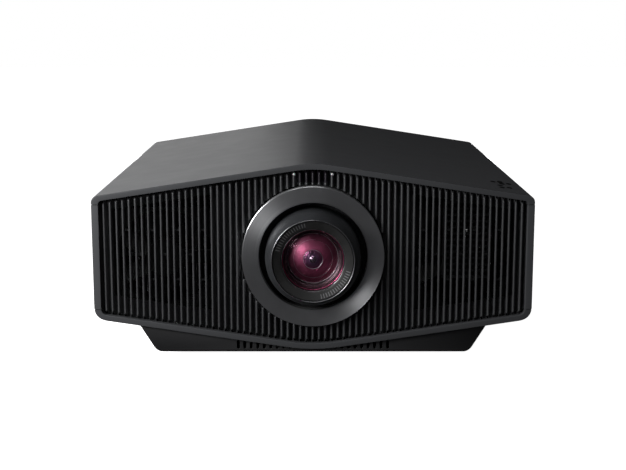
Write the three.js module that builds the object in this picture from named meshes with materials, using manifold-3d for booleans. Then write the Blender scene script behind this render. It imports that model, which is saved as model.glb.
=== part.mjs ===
// Home theatre projector: a low gabled casing with a ribbed front, a motorised lens on a two-way shift
// stage, a laser light engine, its cooling, its boards, eight keys and four feet.
// Millimetres. X to the right as seen from the front, the front faces -Y, +Z up, feet on z = 0.

import * as THREE from 'three';
import { mergeVertices } from 'three/addons/utils/BufferGeometryUtils.js';
import Module from 'manifold-3d';

const wasm = await Module();
wasm.setup();

// ---------------------------------------------------------------- driving dimensions

const WIDTH = 460;
const BODY_DEPTH = 517;
const NOSE = 24; // how far the lens stands out of the front
const FRONT = -(BODY_DEPTH + NOSE) / 2 + NOSE;
const REAR = FRONT + BODY_DEPTH;
const GAP = 0.3; // clearance between neighbouring pieces
const WALL = 3;

const RIDGE = 211.7; // height at which the two roof planes would meet
const ROOF_SLOPE = 0.155;
const RIDGE_BLEND = 20; // half the width of the rounded ridge
const KEEL = 11; // height at which the two underside planes would meet
const KEEL_SLOPE = 0.151;
const KEEL_BLEND = 28;
const SHOULDER = 7; // reach of the rounding between roof and side
const SKIRT = 13.5; // reach of the rounding between side and underside
const SEAM_TOP = 167.5;
const SEAM_LOW = 56;

const BEZEL_TOP = 6;
const BEZEL_SIDE = 7.5;
const BEZEL_LOW = 6.2;
const BEZEL_DEPTH = 12;

const RIB_PITCH = 6.59;
const RIB_WIDTH = 2.2;
const RIBS_EACH_SIDE = 33;
const RIB_FRONT = FRONT + 3;
const BACKING_FRONT = FRONT + 9;
const BACKING_BACK = FRONT + 12;
const RIB_END_GAP = 0.8;

const VENT_INNER = 105.8; // the vents run between these distances from the middle
const VENT_OUTER = 210;
const VENT_BELOW_ROOF = 18;
const VENT_ABOVE_KEEL = 26;
const TIE_HEIGHTS = [86.5, 113.5, 139.5];
const TIE_EVERY = 4; // ribs from one tie to the next in a row

const LENS_Z = 112.5;
const RING_OUTER = 74.4;
const RING_INNER = 56.6;
const NOSE_RIM = 43.3;
const NOSE_BASE = 50;
const BARREL_RADIUS = 38;
const BARREL_END = 150; // distances along the lens are counted from the front of the casing

const TUB_FRONT = FRONT + 3;
const TUB_REAR = REAR - 20;
const TUB_BOTTOM = 9.4;
const TUB_FLOOR = 2.2;
const TUB_TOP_HALF = 183.6;
const TUB_LOW_HALF = 165;
const TUB_CORNER = 6;
const SLOT_PITCH = 6.87;
const SLOT_RISE = 3.4; // from the underside of the tub to the foot of its front slots
const MOUNT_PAD = { x: 88, y0: -73, y1: 113, z: TUB_BOTTOM - 1 }; // raised flat for a ceiling bracket
const FLOOR_TOP = TUB_BOTTOM + TUB_FLOOR + GAP; // where the inner pieces stand

const GEAR_RADIUS = 45; // pitch radius of the focus and zoom rings
const GEAR_TEETH = 40;
const PINION_RADIUS = 9;
const PINION_TEETH = 8;
const TOOTH_HALF = 1.9;
const FOCUS_AT = 53;
const ZOOM_AT = 72;
const GEAR_WIDTH = 10;
const MOTOR_RADIUS = 9;
const MOTOR_LENGTH = 20;

const SCREW_RADIUS = 3;
const SCREW_HOLE = 3.4;
const LEAD_X = -84; // vertical lead screw, from the lens axis
const LEAD_Y = 124;
const CROSS_Z = -74; // horizontal lead screw, from the lens axis
const CROSS_Y = 114;

const FAN_SIZE = 110;
const FAN_DEPTH = 25;
const FAN_BORE = 51.5;
const FAN_X = 157;
const FAN_Z = 107;
const FAN_FRONT = FRONT + 22;

const KEY_RADIUS = 2.9;
const KEY_HOLE = 3.2;
const KEY_PROUD = 0.6;
const KEY_TRAVEL = 0.8;
const ROOF_ANGLE = Math.atan(ROOF_SLOPE);
const KEYS = [
  // name, distance from the middle, distance behind the front
  ['key_up', 205, 82.5],
  ['key_down', 205, 65.5],
  ['key_left', 196.5, 74],
  ['key_right', 213.5, 74],
  ['key_enter', 205, 74],
  ['key_menu', 200.5, 49],
  ['key_input', 200.5, 34],
  ['key_power', 209.5, 41.5],
];
const KEY_FIELD_X = 205;
const KEY_FIELD_BACK = 58;

const FRONT_FOOT = { x: 135, y: FRONT + 70 };
const REAR_FOOT = { x: 135, y: REAR - 70 };
const FOOT_RADIUS = 16;

// ---------------------------------------------------------------- materials

const material = (color, roughness, metalness = 0) =>
  new THREE.MeshStandardMaterial({ color, roughness, metalness });

const casingPlastic = material(0x2b2c2f, 0.55);
const ribPlastic = material(0x1e1f21, 0.5);
const darkPlastic = material(0x101112, 0.6);
const ringMetal = material(0x6f7176, 0.3, 0.9);
const lensMetal = material(0x26282a, 0.4, 0.6);
const coatedGlass = material(0x5a1030, 0.05);
const smokedPlastic = material(0x15151a, 0.1);
const clearPlastic = material(0xd8d8d8, 0.2);
const gearPlastic = material(0xd9d4c4, 0.5);
const steel = material(0x9a9da1, 0.35, 1);
const aluminium = material(0xb4b7ba, 0.4, 0.9);
const copper = material(0xb5713f, 0.3, 1);
const boardGreen = material(0x1d4b32, 0.6);
const rubber = material(0x0c0c0d, 0.9);
const keyPlastic = material(0x08080a, 0.2);
const phosphor = material(0xd9c23a, 0.6);
const foam = material(0x2a2a2a, 1);

// ---------------------------------------------------------------- solids

// A closed geometry becomes a manifold solid: shared corners are merged, triangles that have
// shrunk to a line are dropped, and an inside-out winding is turned round.
function solid(geometry) {
  const bare = geometry.clone();
  bare.deleteAttribute('normal');
  bare.deleteAttribute('uv');
  const merged = mergeVertices(bare, 1e-4);
  const place = merged.getAttribute('position').array;
  const corner = (i) => new THREE.Vector3().fromArray(place, 3 * i);
  const triangles = [];
  let volume = 0;
  for (let i = 0; i < merged.index.count; i += 3) {
    const [a, b, c] = [0, 1, 2].map((k) => merged.index.getX(i + k));
    if (a === b || b === c || c === a) continue;
    triangles.push([a, b, c]);
    volume += corner(a).dot(corner(b).cross(corner(c)));
  }
  const wound = volume < 0 ? triangles.map(([a, b, c]) => [a, c, b]) : triangles;
  return new wasm.Manifold(new wasm.Mesh({
    numProp: 3,
    vertProperties: Float32Array.from(place),
    triVerts: Uint32Array.from(wound.flat()),
  }));
}

const join = (first, ...others) => others.reduce((sum, next) => sum.add(next), first);
const cut = (first, ...others) => others.reduce((rest, next) => rest.subtract(next), first);

function block([x0, x1], [y0, y1], [z0, z1]) {
  const box = new THREE.BoxGeometry(x1 - x0, y1 - y0, z1 - z0);
  return solid(box.translate((x0 + x1) / 2, (y0 + y1) / 2, (z0 + z1) / 2));
}

// A flat outline in X and Z, given as a THREE.Shape, drawn out along Y.
function prism(shape, y0, y1, curveSegments = 6) {
  const drawn = new THREE.ExtrudeGeometry(shape, { depth: y1 - y0, bevelEnabled: false, curveSegments });
  return solid(drawn.rotateX(Math.PI / 2).translate(0, y1, 0));
}

const outline = (points) => new THREE.Shape(points.map(([x, z]) => new THREE.Vector2(x, z)));

// A closed profile of [radius, y] pairs turned about the Y axis.
function turned(profile, sides) {
  const points = profile.map(([radius, y]) => new THREE.Vector2(radius, y));
  return solid(new THREE.LatheGeometry(points, sides));
}

function ring(inner, outer, y0, y1, sides) {
  return turned([[inner, y0], [outer, y0], [outer, y1], [inner, y1], [inner, y0]], sides);
}

// A round rod from one end to the other along an axis: 'x', 'y' or 'z'.
function rod(axis, radius, from, to, [u, v], sides = 16) {
  const length = to - from;
  const middle = (from + to) / 2;
  const bar = new THREE.CylinderGeometry(radius, radius, length, sides);
  if (axis === 'x') return solid(bar.rotateZ(Math.PI / 2).translate(middle, u, v));
  if (axis === 'y') return solid(bar.translate(u, middle, v));
  return solid(bar.rotateX(Math.PI / 2).translate(u, v, middle));
}

// ---------------------------------------------------------------- the scene

const projector = new THREE.Group();

function piece(name, shape, look, parent = projector) {
  const { vertProperties, triVerts } = shape.getMesh();
  const geometry = new THREE.BufferGeometry();
  geometry.setAttribute('position', new THREE.BufferAttribute(vertProperties, 3));
  geometry.setIndex(new THREE.BufferAttribute(triVerts, 1));
  geometry.computeVertexNormals();
  const mesh = new THREE.Mesh(geometry, look);
  mesh.name = name;
  parent.add(mesh);
  return mesh;
}

function groupAt(x, y, z) {
  const group = new THREE.Group();
  group.position.set(x, y, z);
  projector.add(group);
  return group;
}

// ---------------------------------------------------------------- casing

// Front view of the body, moved in from the outer surface by the given amounts.
function bodySection(roofInset, sideInset = roofInset, keelInset = roofInset) {
  const half = WIDTH / 2 - sideInset;
  const ridge = RIDGE - roofInset * Math.hypot(1, ROOF_SLOPE);
  const keel = KEEL + keelInset * Math.hypot(1, KEEL_SLOPE);
  const roof = (x) => ridge - ROOF_SLOPE * Math.abs(x);
  const under = (x) => keel + KEEL_SLOPE * Math.abs(x);
  const shoulder = Math.max(SHOULDER - sideInset, 4);
  const skirt = Math.max(SKIRT - sideInset, 4);
  const shape = new THREE.Shape();
  shape.moveTo(-RIDGE_BLEND, roof(RIDGE_BLEND));
  shape.quadraticCurveTo(0, ridge, RIDGE_BLEND, roof(RIDGE_BLEND));
  shape.lineTo(half - shoulder, roof(half - shoulder));
  shape.quadraticCurveTo(half, roof(half), half, roof(half) - shoulder);
  shape.lineTo(half, under(half) + skirt);
  shape.quadraticCurveTo(half, under(half), half - skirt, under(half - skirt));
  shape.lineTo(KEEL_BLEND, under(KEEL_BLEND));
  shape.quadraticCurveTo(0, keel, -KEEL_BLEND, under(KEEL_BLEND));
  shape.lineTo(skirt - half, under(half - skirt));
  shape.quadraticCurveTo(-half, under(half), -half, under(half) + skirt);
  shape.lineTo(-half, roof(half) - shoulder);
  shape.quadraticCurveTo(-half, roof(half), shoulder - half, roof(half - shoulder));
  shape.closePath();
  return shape;
}

// The roof's right half as a local frame: its z axis stands square on the roof.
const keyField = groupAt(KEY_FIELD_X, FRONT + KEY_FIELD_BACK, RIDGE - ROOF_SLOPE * KEY_FIELD_X);
keyField.rotation.y = ROOF_ANGLE;

function keyPlace([, x, back]) {
  return [(x - KEY_FIELD_X) / Math.cos(ROOF_ANGLE), back - KEY_FIELD_BACK];
}

function keyHole(key) {
  const [u, v] = keyPlace(key);
  const bar = new THREE.CylinderGeometry(KEY_HOLE, KEY_HOLE, 4 * WALL, 12).rotateX(Math.PI / 2);
  bar.translate(u, v, 0);
  keyField.updateMatrixWorld(true);
  return solid(bar.applyMatrix4(keyField.matrixWorld));
}

function buildCasing() {
  const skin = cut(
    prism(bodySection(0), FRONT, REAR),
    prism(bodySection(WALL), FRONT - 1, REAR + 1),
  );
  const bezel = cut(
    prism(bodySection(0), FRONT, FRONT + BEZEL_DEPTH),
    prism(bodySection(BEZEL_TOP, BEZEL_SIDE, BEZEL_LOW), FRONT - 1, FRONT + BEZEL_DEPTH + 1),
  );
  const casing = join(skin, bezel);
  const wide = [-WIDTH, WIDTH];
  const long = [FRONT - 1, REAR + 1];
  const high = 2 * RIDGE;

  const above = block(wide, long, [SEAM_TOP + GAP / 2, high]);
  const beside = [SEAM_LOW + GAP / 2, SEAM_TOP - GAP / 2];
  const below = block(wide, long, [-high, SEAM_LOW - GAP / 2]);
  const tubOpening = block([-168, 168], [FRONT + 16, REAR - 16], [0, SEAM_LOW]);

  piece('top_cover', cut(casing.intersect(above), ...KEYS.map(keyHole)), casingPlastic);
  piece('side_panel_left', casing.intersect(block([-WIDTH, 0], long, beside)), casingPlastic);
  piece('side_panel_right', casing.intersect(block([0, WIDTH], long, beside)), casingPlastic);
  piece('bottom_cover', cut(casing.intersect(below), tubOpening), casingPlastic);
}

function tubSection(inset) {
  const lean = (TUB_TOP_HALF - TUB_LOW_HALF) / 30;
  const low = TUB_BOTTOM + (inset > 0 ? TUB_FLOOR : 0);
  const top = inset > 0 ? 60 : 45;
  const half = (z) => TUB_LOW_HALF - inset + lean * (z - TUB_BOTTOM);
  const shape = new THREE.Shape();
  shape.moveTo(half(top), top);
  shape.lineTo(half(low + TUB_CORNER), low + TUB_CORNER);
  shape.quadraticCurveTo(half(low), low, half(low) - TUB_CORNER, low);
  shape.lineTo(TUB_CORNER - half(low), low);
  shape.quadraticCurveTo(-half(low), low, -half(low + TUB_CORNER), low + TUB_CORNER);
  shape.lineTo(-half(top), top);
  shape.closePath();
  return shape;
}

function buildTub() {
  const body = prism(bodySection(-GAP), FRONT - 1, REAR + 1);
  const hollow = prism(tubSection(WALL), TUB_FRONT + WALL, TUB_REAR - WALL);
  const slotFoot = TUB_BOTTOM + SLOT_RISE;
  const slots = [];
  for (let k = 3; k <= 11; k += 1) {
    for (const side of [-1, 1]) {
      const x = side * (k + 0.5) * SLOT_PITCH;
      const depth = [TUB_FRONT - 1, TUB_FRONT + WALL + 1];
      slots.push(block([x - 1.5, x + 1.5], depth, [slotFoot, slotFoot + 9]));
    }
  }
  const bracketHoles = [];
  const footHoles = [];
  for (const side of [-1, 1]) {
    for (const y of [MOUNT_PAD.y0 + 13, MOUNT_PAD.y1 - 13]) {
      bracketHoles.push(rod('z', 2.5, 0, 20, [side * (MOUNT_PAD.x - 13), y], 8));
    }
    footHoles.push(rod('z', 4.6, 0, 20, [side * FRONT_FOOT.x, FRONT_FOOT.y], 12));
  }
  const pad = block(
    [-MOUNT_PAD.x, MOUNT_PAD.x],
    [MOUNT_PAD.y0, MOUNT_PAD.y1],
    [MOUNT_PAD.z, TUB_BOTTOM + 1],
  );
  const tray = join(prism(tubSection(0), TUB_FRONT, TUB_REAR), pad);
  piece('base_tub', cut(tray, body, hollow, ...slots, ...bracketHoles, ...footHoles), darkPlastic);
}

// ---------------------------------------------------------------- rear

const TERMINAL = { x0: -195, x1: -45, z0: 54, z1: 88 };
const SOCKETS = [
  // middle of the socket, width and height of its opening
  { x: -178, z: 70, w: 14.5, h: 5.4 },
  { x: -152, z: 70, w: 14.5, h: 5.4 },
  { x: -124, z: 72, w: 12, h: 9 },
  { x: -98, z: 71, w: 13, h: 6 },
  { x: -68, z: 72, w: 17, h: 9 },
];
const SOCKET_DEPTH = 14;
const INLET = { x: 150, z: 57, w: 24, h: 16, depth: 16 };
const PANEL_BACK = REAR - 3;
const PANEL_FRONT = REAR - 6;

// A foam pad with a stiff rim in front of it, behind one group of the rear slots.
function filterPad([x0, x1], [z0, z1]) {
  const pad = block([x0 + 4, x1 - 4], [REAR - 18, REAR - 8], [z0 + 4, z1 - 4]);
  const rim = cut(
    block([x0, x1], [REAR - 20, REAR - 16], [z0, z1]),
    block([x0 + 6, x1 - 6], [REAR - 21, REAR - 15], [z0 + 6, z1 - 6]),
  );
  return join(pad, rim);
}

function buildRear() {
  const slots = [];
  for (let k = 0; k < 12; k += 1) {
    const x = 20 + 15 * k;
    slots.push(block([x - 3, x + 3], [PANEL_FRONT - 1, REAR], [90, 150]));
    slots.push(block([-x - 3, 3 - x], [PANEL_FRONT - 1, REAR], [112, 150]));
  }
  const { x0, x1, z0, z1 } = TERMINAL;
  const terminalHole = block([x0, x1], [PANEL_FRONT - 1, REAR], [z0, z1]);
  const sleeveHalf = { w: INLET.w / 2 + 2 + GAP, h: INLET.h / 2 + 2 + GAP };
  const inletHole = block(
    [INLET.x - sleeveHalf.w, INLET.x + sleeveHalf.w],
    [PANEL_FRONT - 1, REAR],
    [INLET.z - sleeveHalf.h, INLET.z + sleeveHalf.h],
  );
  const panel = prism(bodySection(WALL + GAP), PANEL_FRONT, PANEL_BACK, 4);
  piece('rear_panel', cut(panel, terminalHole, inletHole, ...slots), casingPlastic);

  let plate = block([x0 + GAP, x1 - GAP], [PANEL_FRONT, PANEL_BACK], [z0 + GAP, z1 - GAP]);
  for (const { x, z, w, h } of SOCKETS) {
    const shell = block(
      [x - w / 2 - 1, x + w / 2 + 1],
      [PANEL_FRONT - SOCKET_DEPTH, PANEL_BACK],
      [z - h / 2 - 1, z + h / 2 + 1],
    );
    const pocket = block(
      [x - w / 2, x + w / 2],
      [PANEL_FRONT - SOCKET_DEPTH + 1, REAR],
      [z - h / 2, z + h / 2],
    );
    plate = cut(join(plate, shell), pocket);
  }
  piece('terminal_plate', plate, darkPlastic);

  const { x, z, w, h, depth } = INLET;
  const flange = block([x - 24, x + 24], [PANEL_BACK + GAP, REAR - 0.5], [z - 13, z + 13]);
  const sleeve = block(
    [x - w / 2 - 2, x + w / 2 + 2],
    [PANEL_BACK - depth - 2, PANEL_BACK + 1],
    [z - h / 2 - 2, z + h / 2 + 2],
  );
  const pocket = block([x - w / 2, x + w / 2], [PANEL_BACK - depth, REAR], [z - h / 2, z + h / 2]);
  piece('mains_inlet', cut(join(flange, sleeve), pocket), darkPlastic);

  const longSlotPad = filterPad([8, 204], [82, 158]);
  const shortSlotPad = filterPad([-204, 10], [104, 158]);
  piece('intake_filter', join(longSlotPad, shortSlotPad), foam);
}

// ---------------------------------------------------------------- front

function ventOutline(side) {
  const roof = (x) => RIDGE - ROOF_SLOPE * x - VENT_BELOW_ROOF;
  const under = (x) => KEEL + KEEL_SLOPE * x + VENT_ABOVE_KEEL;
  return outline([
    [side * VENT_INNER, under(VENT_INNER)],
    [side * VENT_OUTER, under(VENT_OUTER)],
    [side * VENT_OUTER, roof(VENT_OUTER)],
    [side * VENT_INNER, roof(VENT_INNER)],
  ]);
}

const WINDOW_HALF = 2.5 * RIB_PITCH;
const WINDOW_LOW = 190.5;
const LIGHT_X = 3 * RIB_PITCH;
const LIGHT_Z = 199;

function buildFront() {
  const inset = (extra) => bodySection(BEZEL_TOP + extra, BEZEL_SIDE + extra, BEZEL_LOW + extra);
  const ribZone = prism(inset(GAP + RIB_END_GAP), RIB_FRONT, BACKING_BACK);
  const ribAt = (k) => block(
    [k * RIB_PITCH - RIB_WIDTH / 2, k * RIB_PITCH + RIB_WIDTH / 2],
    [RIB_FRONT, BACKING_FRONT + 0.5],
    [0, RIDGE],
  ).intersect(ribZone);
  const ties = [];
  for (const side of [-1, 1]) {
    TIE_HEIGHTS.forEach((z, row) => {
      for (let k = 17 + 2 * (row % 2); k < 31; k += TIE_EVERY) {
        const x = side * (k + 0.5) * RIB_PITCH;
        ties.push(block([x - 3, x + 3], [BACKING_FRONT - 3, BACKING_FRONT], [z - 1, z + 1]));
      }
    });
  }
  const backing = cut(
    prism(inset(GAP), BACKING_FRONT, BACKING_BACK),
    prism(ventOutline(-1), FRONT, FRONT + 20),
    prism(ventOutline(1), FRONT, FRONT + 20),
  );
  const ribs = [];
  for (let k = -RIBS_EACH_SIDE; k <= RIBS_EACH_SIDE; k += 1) {
    ribs.push(ribAt(k));
  }
  const lensHole = rod('y', RING_OUTER + 1.2, FRONT, FRONT + 20, [0, LENS_Z], 48);
  const windowHole = block(
    [-WINDOW_HALF - GAP, WINDOW_HALF + GAP],
    [FRONT, FRONT + 20],
    [WINDOW_LOW - GAP, RIDGE],
  );
  const lightHoles = [-1, 1].map((side) => rod('y', 1.6, FRONT, FRONT + 20, [side * LIGHT_X, LIGHT_Z], 8));
  const ribbed = cut(join(backing, ...ribs, ...ties), lensHole, windowHole, ...lightHoles);
  // A strip of backing above the window keeps the two halves of the grille in one piece.
  const bridge = prism(inset(GAP), BACKING_FRONT + 1.5, BACKING_BACK)
    .intersect(block([-WINDOW_HALF - 2, WINDOW_HALF + 2], [FRONT, FRONT + 20], [201.6, RIDGE]));
  piece('front_grille', join(ribbed, bridge), ribPlastic);

  const windowRibs = [-2, -1, 0, 1, 2].map(ribAt);
  const windowTop = 201.6 - GAP;
  const pane = block([-WINDOW_HALF, WINDOW_HALF], [BACKING_FRONT, BACKING_BACK], [WINDOW_LOW, windowTop]);
  const windowZone = block([-WINDOW_HALF, WINDOW_HALF], [FRONT, FRONT + 20], [WINDOW_LOW, windowTop]);
  piece('receiver_window', join(pane, ...windowRibs).intersect(windowZone), smokedPlastic);

  for (const [name, side] of [['status_light_pipe', -1], ['warning_light_pipe', 1]]) {
    const axis = [side * LIGHT_X, LIGHT_Z];
    piece(name, rod('y', 1.25, RIB_FRONT - 0.3, BACKING_BACK + 3, axis, 8), clearPlastic);
  }
  const receiver = block([-5, 5], [BACKING_BACK + 1, BACKING_BACK + 5], [193, 200]);
  const board = block([-26, 26], [BACKING_BACK + 4.5, BACKING_BACK + 6], [189, 203]);
  piece('receiver_board', join(board, receiver), boardGreen);

  // Perforated screen behind the right vent.
  const holes = [];
  const hole = { w: 4.4, h: 11 };
  for (let column = 0; column < 7; column += 1) {
    for (let row = 0; row < 6; row += 1) {
      const x = (21.5 + column) * RIB_PITCH;
      const z = 95.5 + 2 * row * RIB_PITCH;
      const across = [x - hole.w / 2, x + hole.w / 2];
      holes.push(block(across, [FRONT, FRONT + 20], [z - hole.h / 2, z + hole.h / 2]));
    }
  }
  const screen = block([136, 187], [FRONT + 14, FRONT + 15.5], [87, 170]);
  piece('vent_screen', cut(screen, join(...holes)), darkPlastic);
}

// ---------------------------------------------------------------- lens

// Everything in this group is placed from the lens axis and from the front of the casing.
const lensGroup = groupAt(0, FRONT, LENS_Z);

function buildLensTrim() {
  piece('lens_ring', turned([
    [RING_INNER, 1.8],
    [RING_OUTER - 0.8, -1],
    [RING_OUTER, -0.4],
    [RING_OUTER, 9],
    [RING_OUTER - 2, 9],
    [RING_OUTER - 2, 4],
    [RING_INNER + 2, 5],
    [RING_INNER + 2, 9],
    [RING_INNER, 9],
    [RING_INNER, 1.8],
  ], 40), ringMetal, lensGroup);
  piece('lens_shroud', turned([
    [RING_INNER + 0.4, 9.3],
    [RING_INNER + 3.4, 9.3],
    [RING_INNER + 3.4, 12.4],
    [80, 12.4],
    [80, 14.4],
    [RING_INNER + 3.4, 14.4],
    [RING_INNER + 3.4, 26.5],
    [RING_INNER + 0.4, 26.5],
    [RING_INNER + 0.4, 9.3],
  ], 28), darkPlastic, lensGroup);
}

function buildLens() {
  piece('lens_barrel', turned([
    [42, -NOSE],
    [NOSE_RIM, -NOSE],
    [NOSE_BASE, -4],
    [NOSE_BASE, 27],
    [68, 27],
    [68, 29.5],
    [BARREL_RADIUS, 29.5],
    [BARREL_RADIUS, BARREL_END],
    [35, BARREL_END],
    [35, -6],
    [42, -6],
    [42, -NOSE],
  ], 32), lensMetal, lensGroup);
  piece('lens_front_ring', turned([
    [32.5, -19],
    [33.5, -20.2],
    [41.7, -22.8],
    [41.7, -6.3],
    [35, -6.3],
    [32.5, -9],
    [32.5, -19],
  ], 32), darkPlastic, lensGroup);
  piece('front_glass', turned(dishProfile(32.2, -15, 7, -8.5, 2), 24), coatedGlass, lensGroup);
  piece('second_glass', turned(dishProfile(34.7, 8, -4, 20, 5), 24), coatedGlass, lensGroup);
}

// A lens element: front edge and rear edge heights, each face bulging by the given amount.
function dishProfile(radius, frontEdge, frontBulge, rearEdge, rearBulge) {
  const steps = 4;
  const face = (edge, bulge, t) => [radius * t, edge + bulge * (1 - t * t)];
  const profile = [];
  for (let i = 0; i <= steps; i += 1) {
    profile.push(face(frontEdge, -frontBulge, i / steps));
  }
  for (let i = steps; i >= 0; i -= 1) {
    profile.push(face(rearEdge, rearBulge, i / steps));
  }
  return profile;
}

// A toothed outline about the origin; teeth fill only the given span when it is under a full turn.
function gearOutline(pitchRadius, teeth, middle, span) {
  const step = (2 * Math.PI) / teeth;
  const shape = [];
  const at = (radius, angle) => shape.push([radius * Math.cos(angle), radius * Math.sin(angle)]);
  const root = pitchRadius - TOOTH_HALF;
  const tip = pitchRadius + TOOTH_HALF * 0.75;
  for (let k = 0; k < teeth; k += 1) {
    const angle = middle + (k - Math.floor(teeth / 2)) * step;
    const toothed = Math.abs(k - Math.floor(teeth / 2)) * step <= span / 2;
    at(root, angle - 0.3 * step);
    if (toothed) {
      at(tip, angle - 0.09 * step);
      at(tip, angle + 0.09 * step);
      at(root, angle + 0.3 * step);
    }
  }
  return outline(shape);
}

// A ring gear on the barrel, its pinion, and the motor that turns the pinion.
function buildDrive(name, at, angle, motorFrom) {
  const sector = prism(gearOutline(GEAR_RADIUS, GEAR_TEETH, angle, 1.9), at, at + GEAR_WIDTH);
  const bore = rod('y', BARREL_RADIUS + 0.6, at - 1, at + GEAR_WIDTH + 1, [0, 0], 32);
  piece(`${name}_ring`, cut(sector, bore), gearPlastic, lensGroup);

  const reach = GEAR_RADIUS + PINION_RADIUS;
  const drive = new THREE.Group();
  drive.position.set(reach * Math.cos(angle), 0, reach * Math.sin(angle));
  lensGroup.add(drive);
  // The pinion's gap, not a tooth, faces the ring.
  const facing = angle + Math.PI + Math.PI / PINION_TEETH;
  const wheel = prism(gearOutline(PINION_RADIUS, PINION_TEETH, facing, 7), at + 0.5, at + GEAR_WIDTH - 0.5);
  const near = motorFrom < at ? motorFrom + MOTOR_LENGTH + GAP : at + 1;
  const far = motorFrom < at ? at + 1 : motorFrom - GAP;
  const shaft = rod('y', 1.5, near, far, [0, 0], 8);
  piece(`${name}_pinion`, join(wheel, shaft), gearPlastic, drive);
  const motor = rod('y', MOTOR_RADIUS, motorFrom, motorFrom + MOTOR_LENGTH, [0, 0], 16);
  piece(`${name}_motor`, motor, steel, drive);
}

function buildShift() {
  const flangeHole = rod('y', BARREL_RADIUS + GAP, 100, 140, [0, 0], 32);
  const nut = cut(
    block([-8, 8], [108.5, 119.5], [CROSS_Z - 7, -60]),
    rod('x', SCREW_HOLE, -20, 20, [CROSS_Y, CROSS_Z], 12),
  );
  const flange = join(block([-62, 62], [112, 118], [-62, 62]), nut);
  piece('lens_flange', cut(flange, flangeHole), aluminium, lensGroup);

  const crossLugs = [-1, 1].map((side) => cut(
    block([side * 63 - 3, side * 63 + 3], [108.5, 122], [CROSS_Z - 6, CROSS_Z + 6]),
    rod('x', SCREW_HOLE, -80, 80, [CROSS_Y, CROSS_Z], 12),
  ));
  const leadNut = cut(
    block([LEAD_X - 7, -70], [LEAD_Y - 6, LEAD_Y + 4], [-8, 8]),
    rod('z', SCREW_HOLE, -20, 20, [LEAD_X, LEAD_Y], 12),
  );
  const stagePlate = cut(
    block([-72, 72], [121, 127], [-82, 66]),
    rod('y', BARREL_RADIUS + 5, 100, 140, [0, 0], 32),
  );
  piece('shift_stage', join(stagePlate, leadNut, ...crossLugs), aluminium, lensGroup);

  const leadLugs = [-1, 1].map((side) => cut(
    block([LEAD_X - 6, LEAD_X + 6], [LEAD_Y - 6, 132], [side * 66 - 3, side * 66 + 3]),
    rod('z', SCREW_HOLE, -80, 80, [LEAD_X, LEAD_Y], 12),
  ));
  const frame = cut(
    block([-92, 92], [130, 136], [FLOOR_TOP - LENS_Z, 74]),
    rod('y', BARREL_RADIUS + 9, 100, 140, [0, 0], 32),
  );
  piece('shift_frame', join(frame, ...leadLugs), aluminium, lensGroup);

  piece('shift_screw_vertical', rod('z', SCREW_RADIUS, -71, 70, [LEAD_X, LEAD_Y], 12), steel, lensGroup);
  piece(
    'shift_motor_vertical',
    rod('z', MOTOR_RADIUS - 1, -71.5 - MOTOR_LENGTH, -71.5, [LEAD_X, LEAD_Y - 3], 16),
    steel,
    lensGroup,
  );
  const crossScrew = rod('x', SCREW_RADIUS, -68, 72.5, [CROSS_Y, CROSS_Z], 12);
  piece('shift_screw_horizontal', crossScrew, steel, lensGroup);
  piece(
    'shift_motor_horizontal',
    rod('x', MOTOR_RADIUS, 73, 73 + MOTOR_LENGTH, [CROSS_Y, CROSS_Z], 16),
    steel,
    lensGroup,
  );
}

// ---------------------------------------------------------------- light engine

function buildEngine() {
  const back = (distance) => FRONT + distance;
  const housing = block([-60, 70], [back(162), back(270)], [60, 165]);
  const stand = block([-50, 60], [back(170), back(262)], [FLOOR_TOP, 61]);
  const port = rod('y', 44, back(153), back(163), [0, LENS_Z], 24);
  const portBore = rod('y', 34, back(150), back(175), [0, LENS_Z], 24);
  const wheelAxis = [back(215), 115];
  const wheelMotor = rod('x', 10, 69, 79, wheelAxis, 16);
  const prismCap = block([-45, 45], [back(180), back(240)], [164, 172]);
  piece(
    'optical_block',
    cut(join(housing, stand, port, wheelMotor, prismCap), portBore),
    aluminium,
  );
  const wheel = join(
    rod('x', 28, 82, 83.2, wheelAxis, 32),
    rod('x', 9, 79 + GAP, 86, wheelAxis, 16),
  );
  piece('phosphor_wheel', wheel, phosphor);

  const laser = block([-190, -75], [back(180), back(262)], [FLOOR_TOP + 36, 96]);
  const laserStand = block([-150, -80], [back(185), back(257)], [FLOOR_TOP, FLOOR_TOP + 37]);
  const beamTube = rod('x', 12, -76, -60 - GAP, [back(220), 80], 16);
  piece('laser_module', join(laser, laserStand, beamTube), steel);

  // Fins stand along the air stream, in front of a base that takes the heat from the pipes.
  const fins = [];
  for (let x = -200; x <= -101; x += 9) {
    fins.push(block([x, x + 1.5], [back(60), back(146)], [62, 152]));
  }
  const base = block([-201, -99], [back(144), back(150)], [48, 154]);
  piece('heat_sink', join(base, ...fins), aluminium);

  const spreader = block([-180, -90], [back(190), back(250)], [96 + GAP, 100]);
  const pipes = [-160, -120].map((x) => {
    const route = new THREE.QuadraticBezierCurve3(
      new THREE.Vector3(x, back(215), 99),
      new THREE.Vector3(x, back(190), 128),
      new THREE.Vector3(x, back(150) + GAP, 128),
    );
    const section = new THREE.Shape().absarc(0, 0, 4, 0, 2 * Math.PI);
    return solid(new THREE.ExtrudeGeometry(section, { extrudePath: route, steps: 8, curveSegments: 5 }));
  });
  piece('heat_pipes', join(spreader, ...pipes), copper);
}

// ---------------------------------------------------------------- fans

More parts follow.
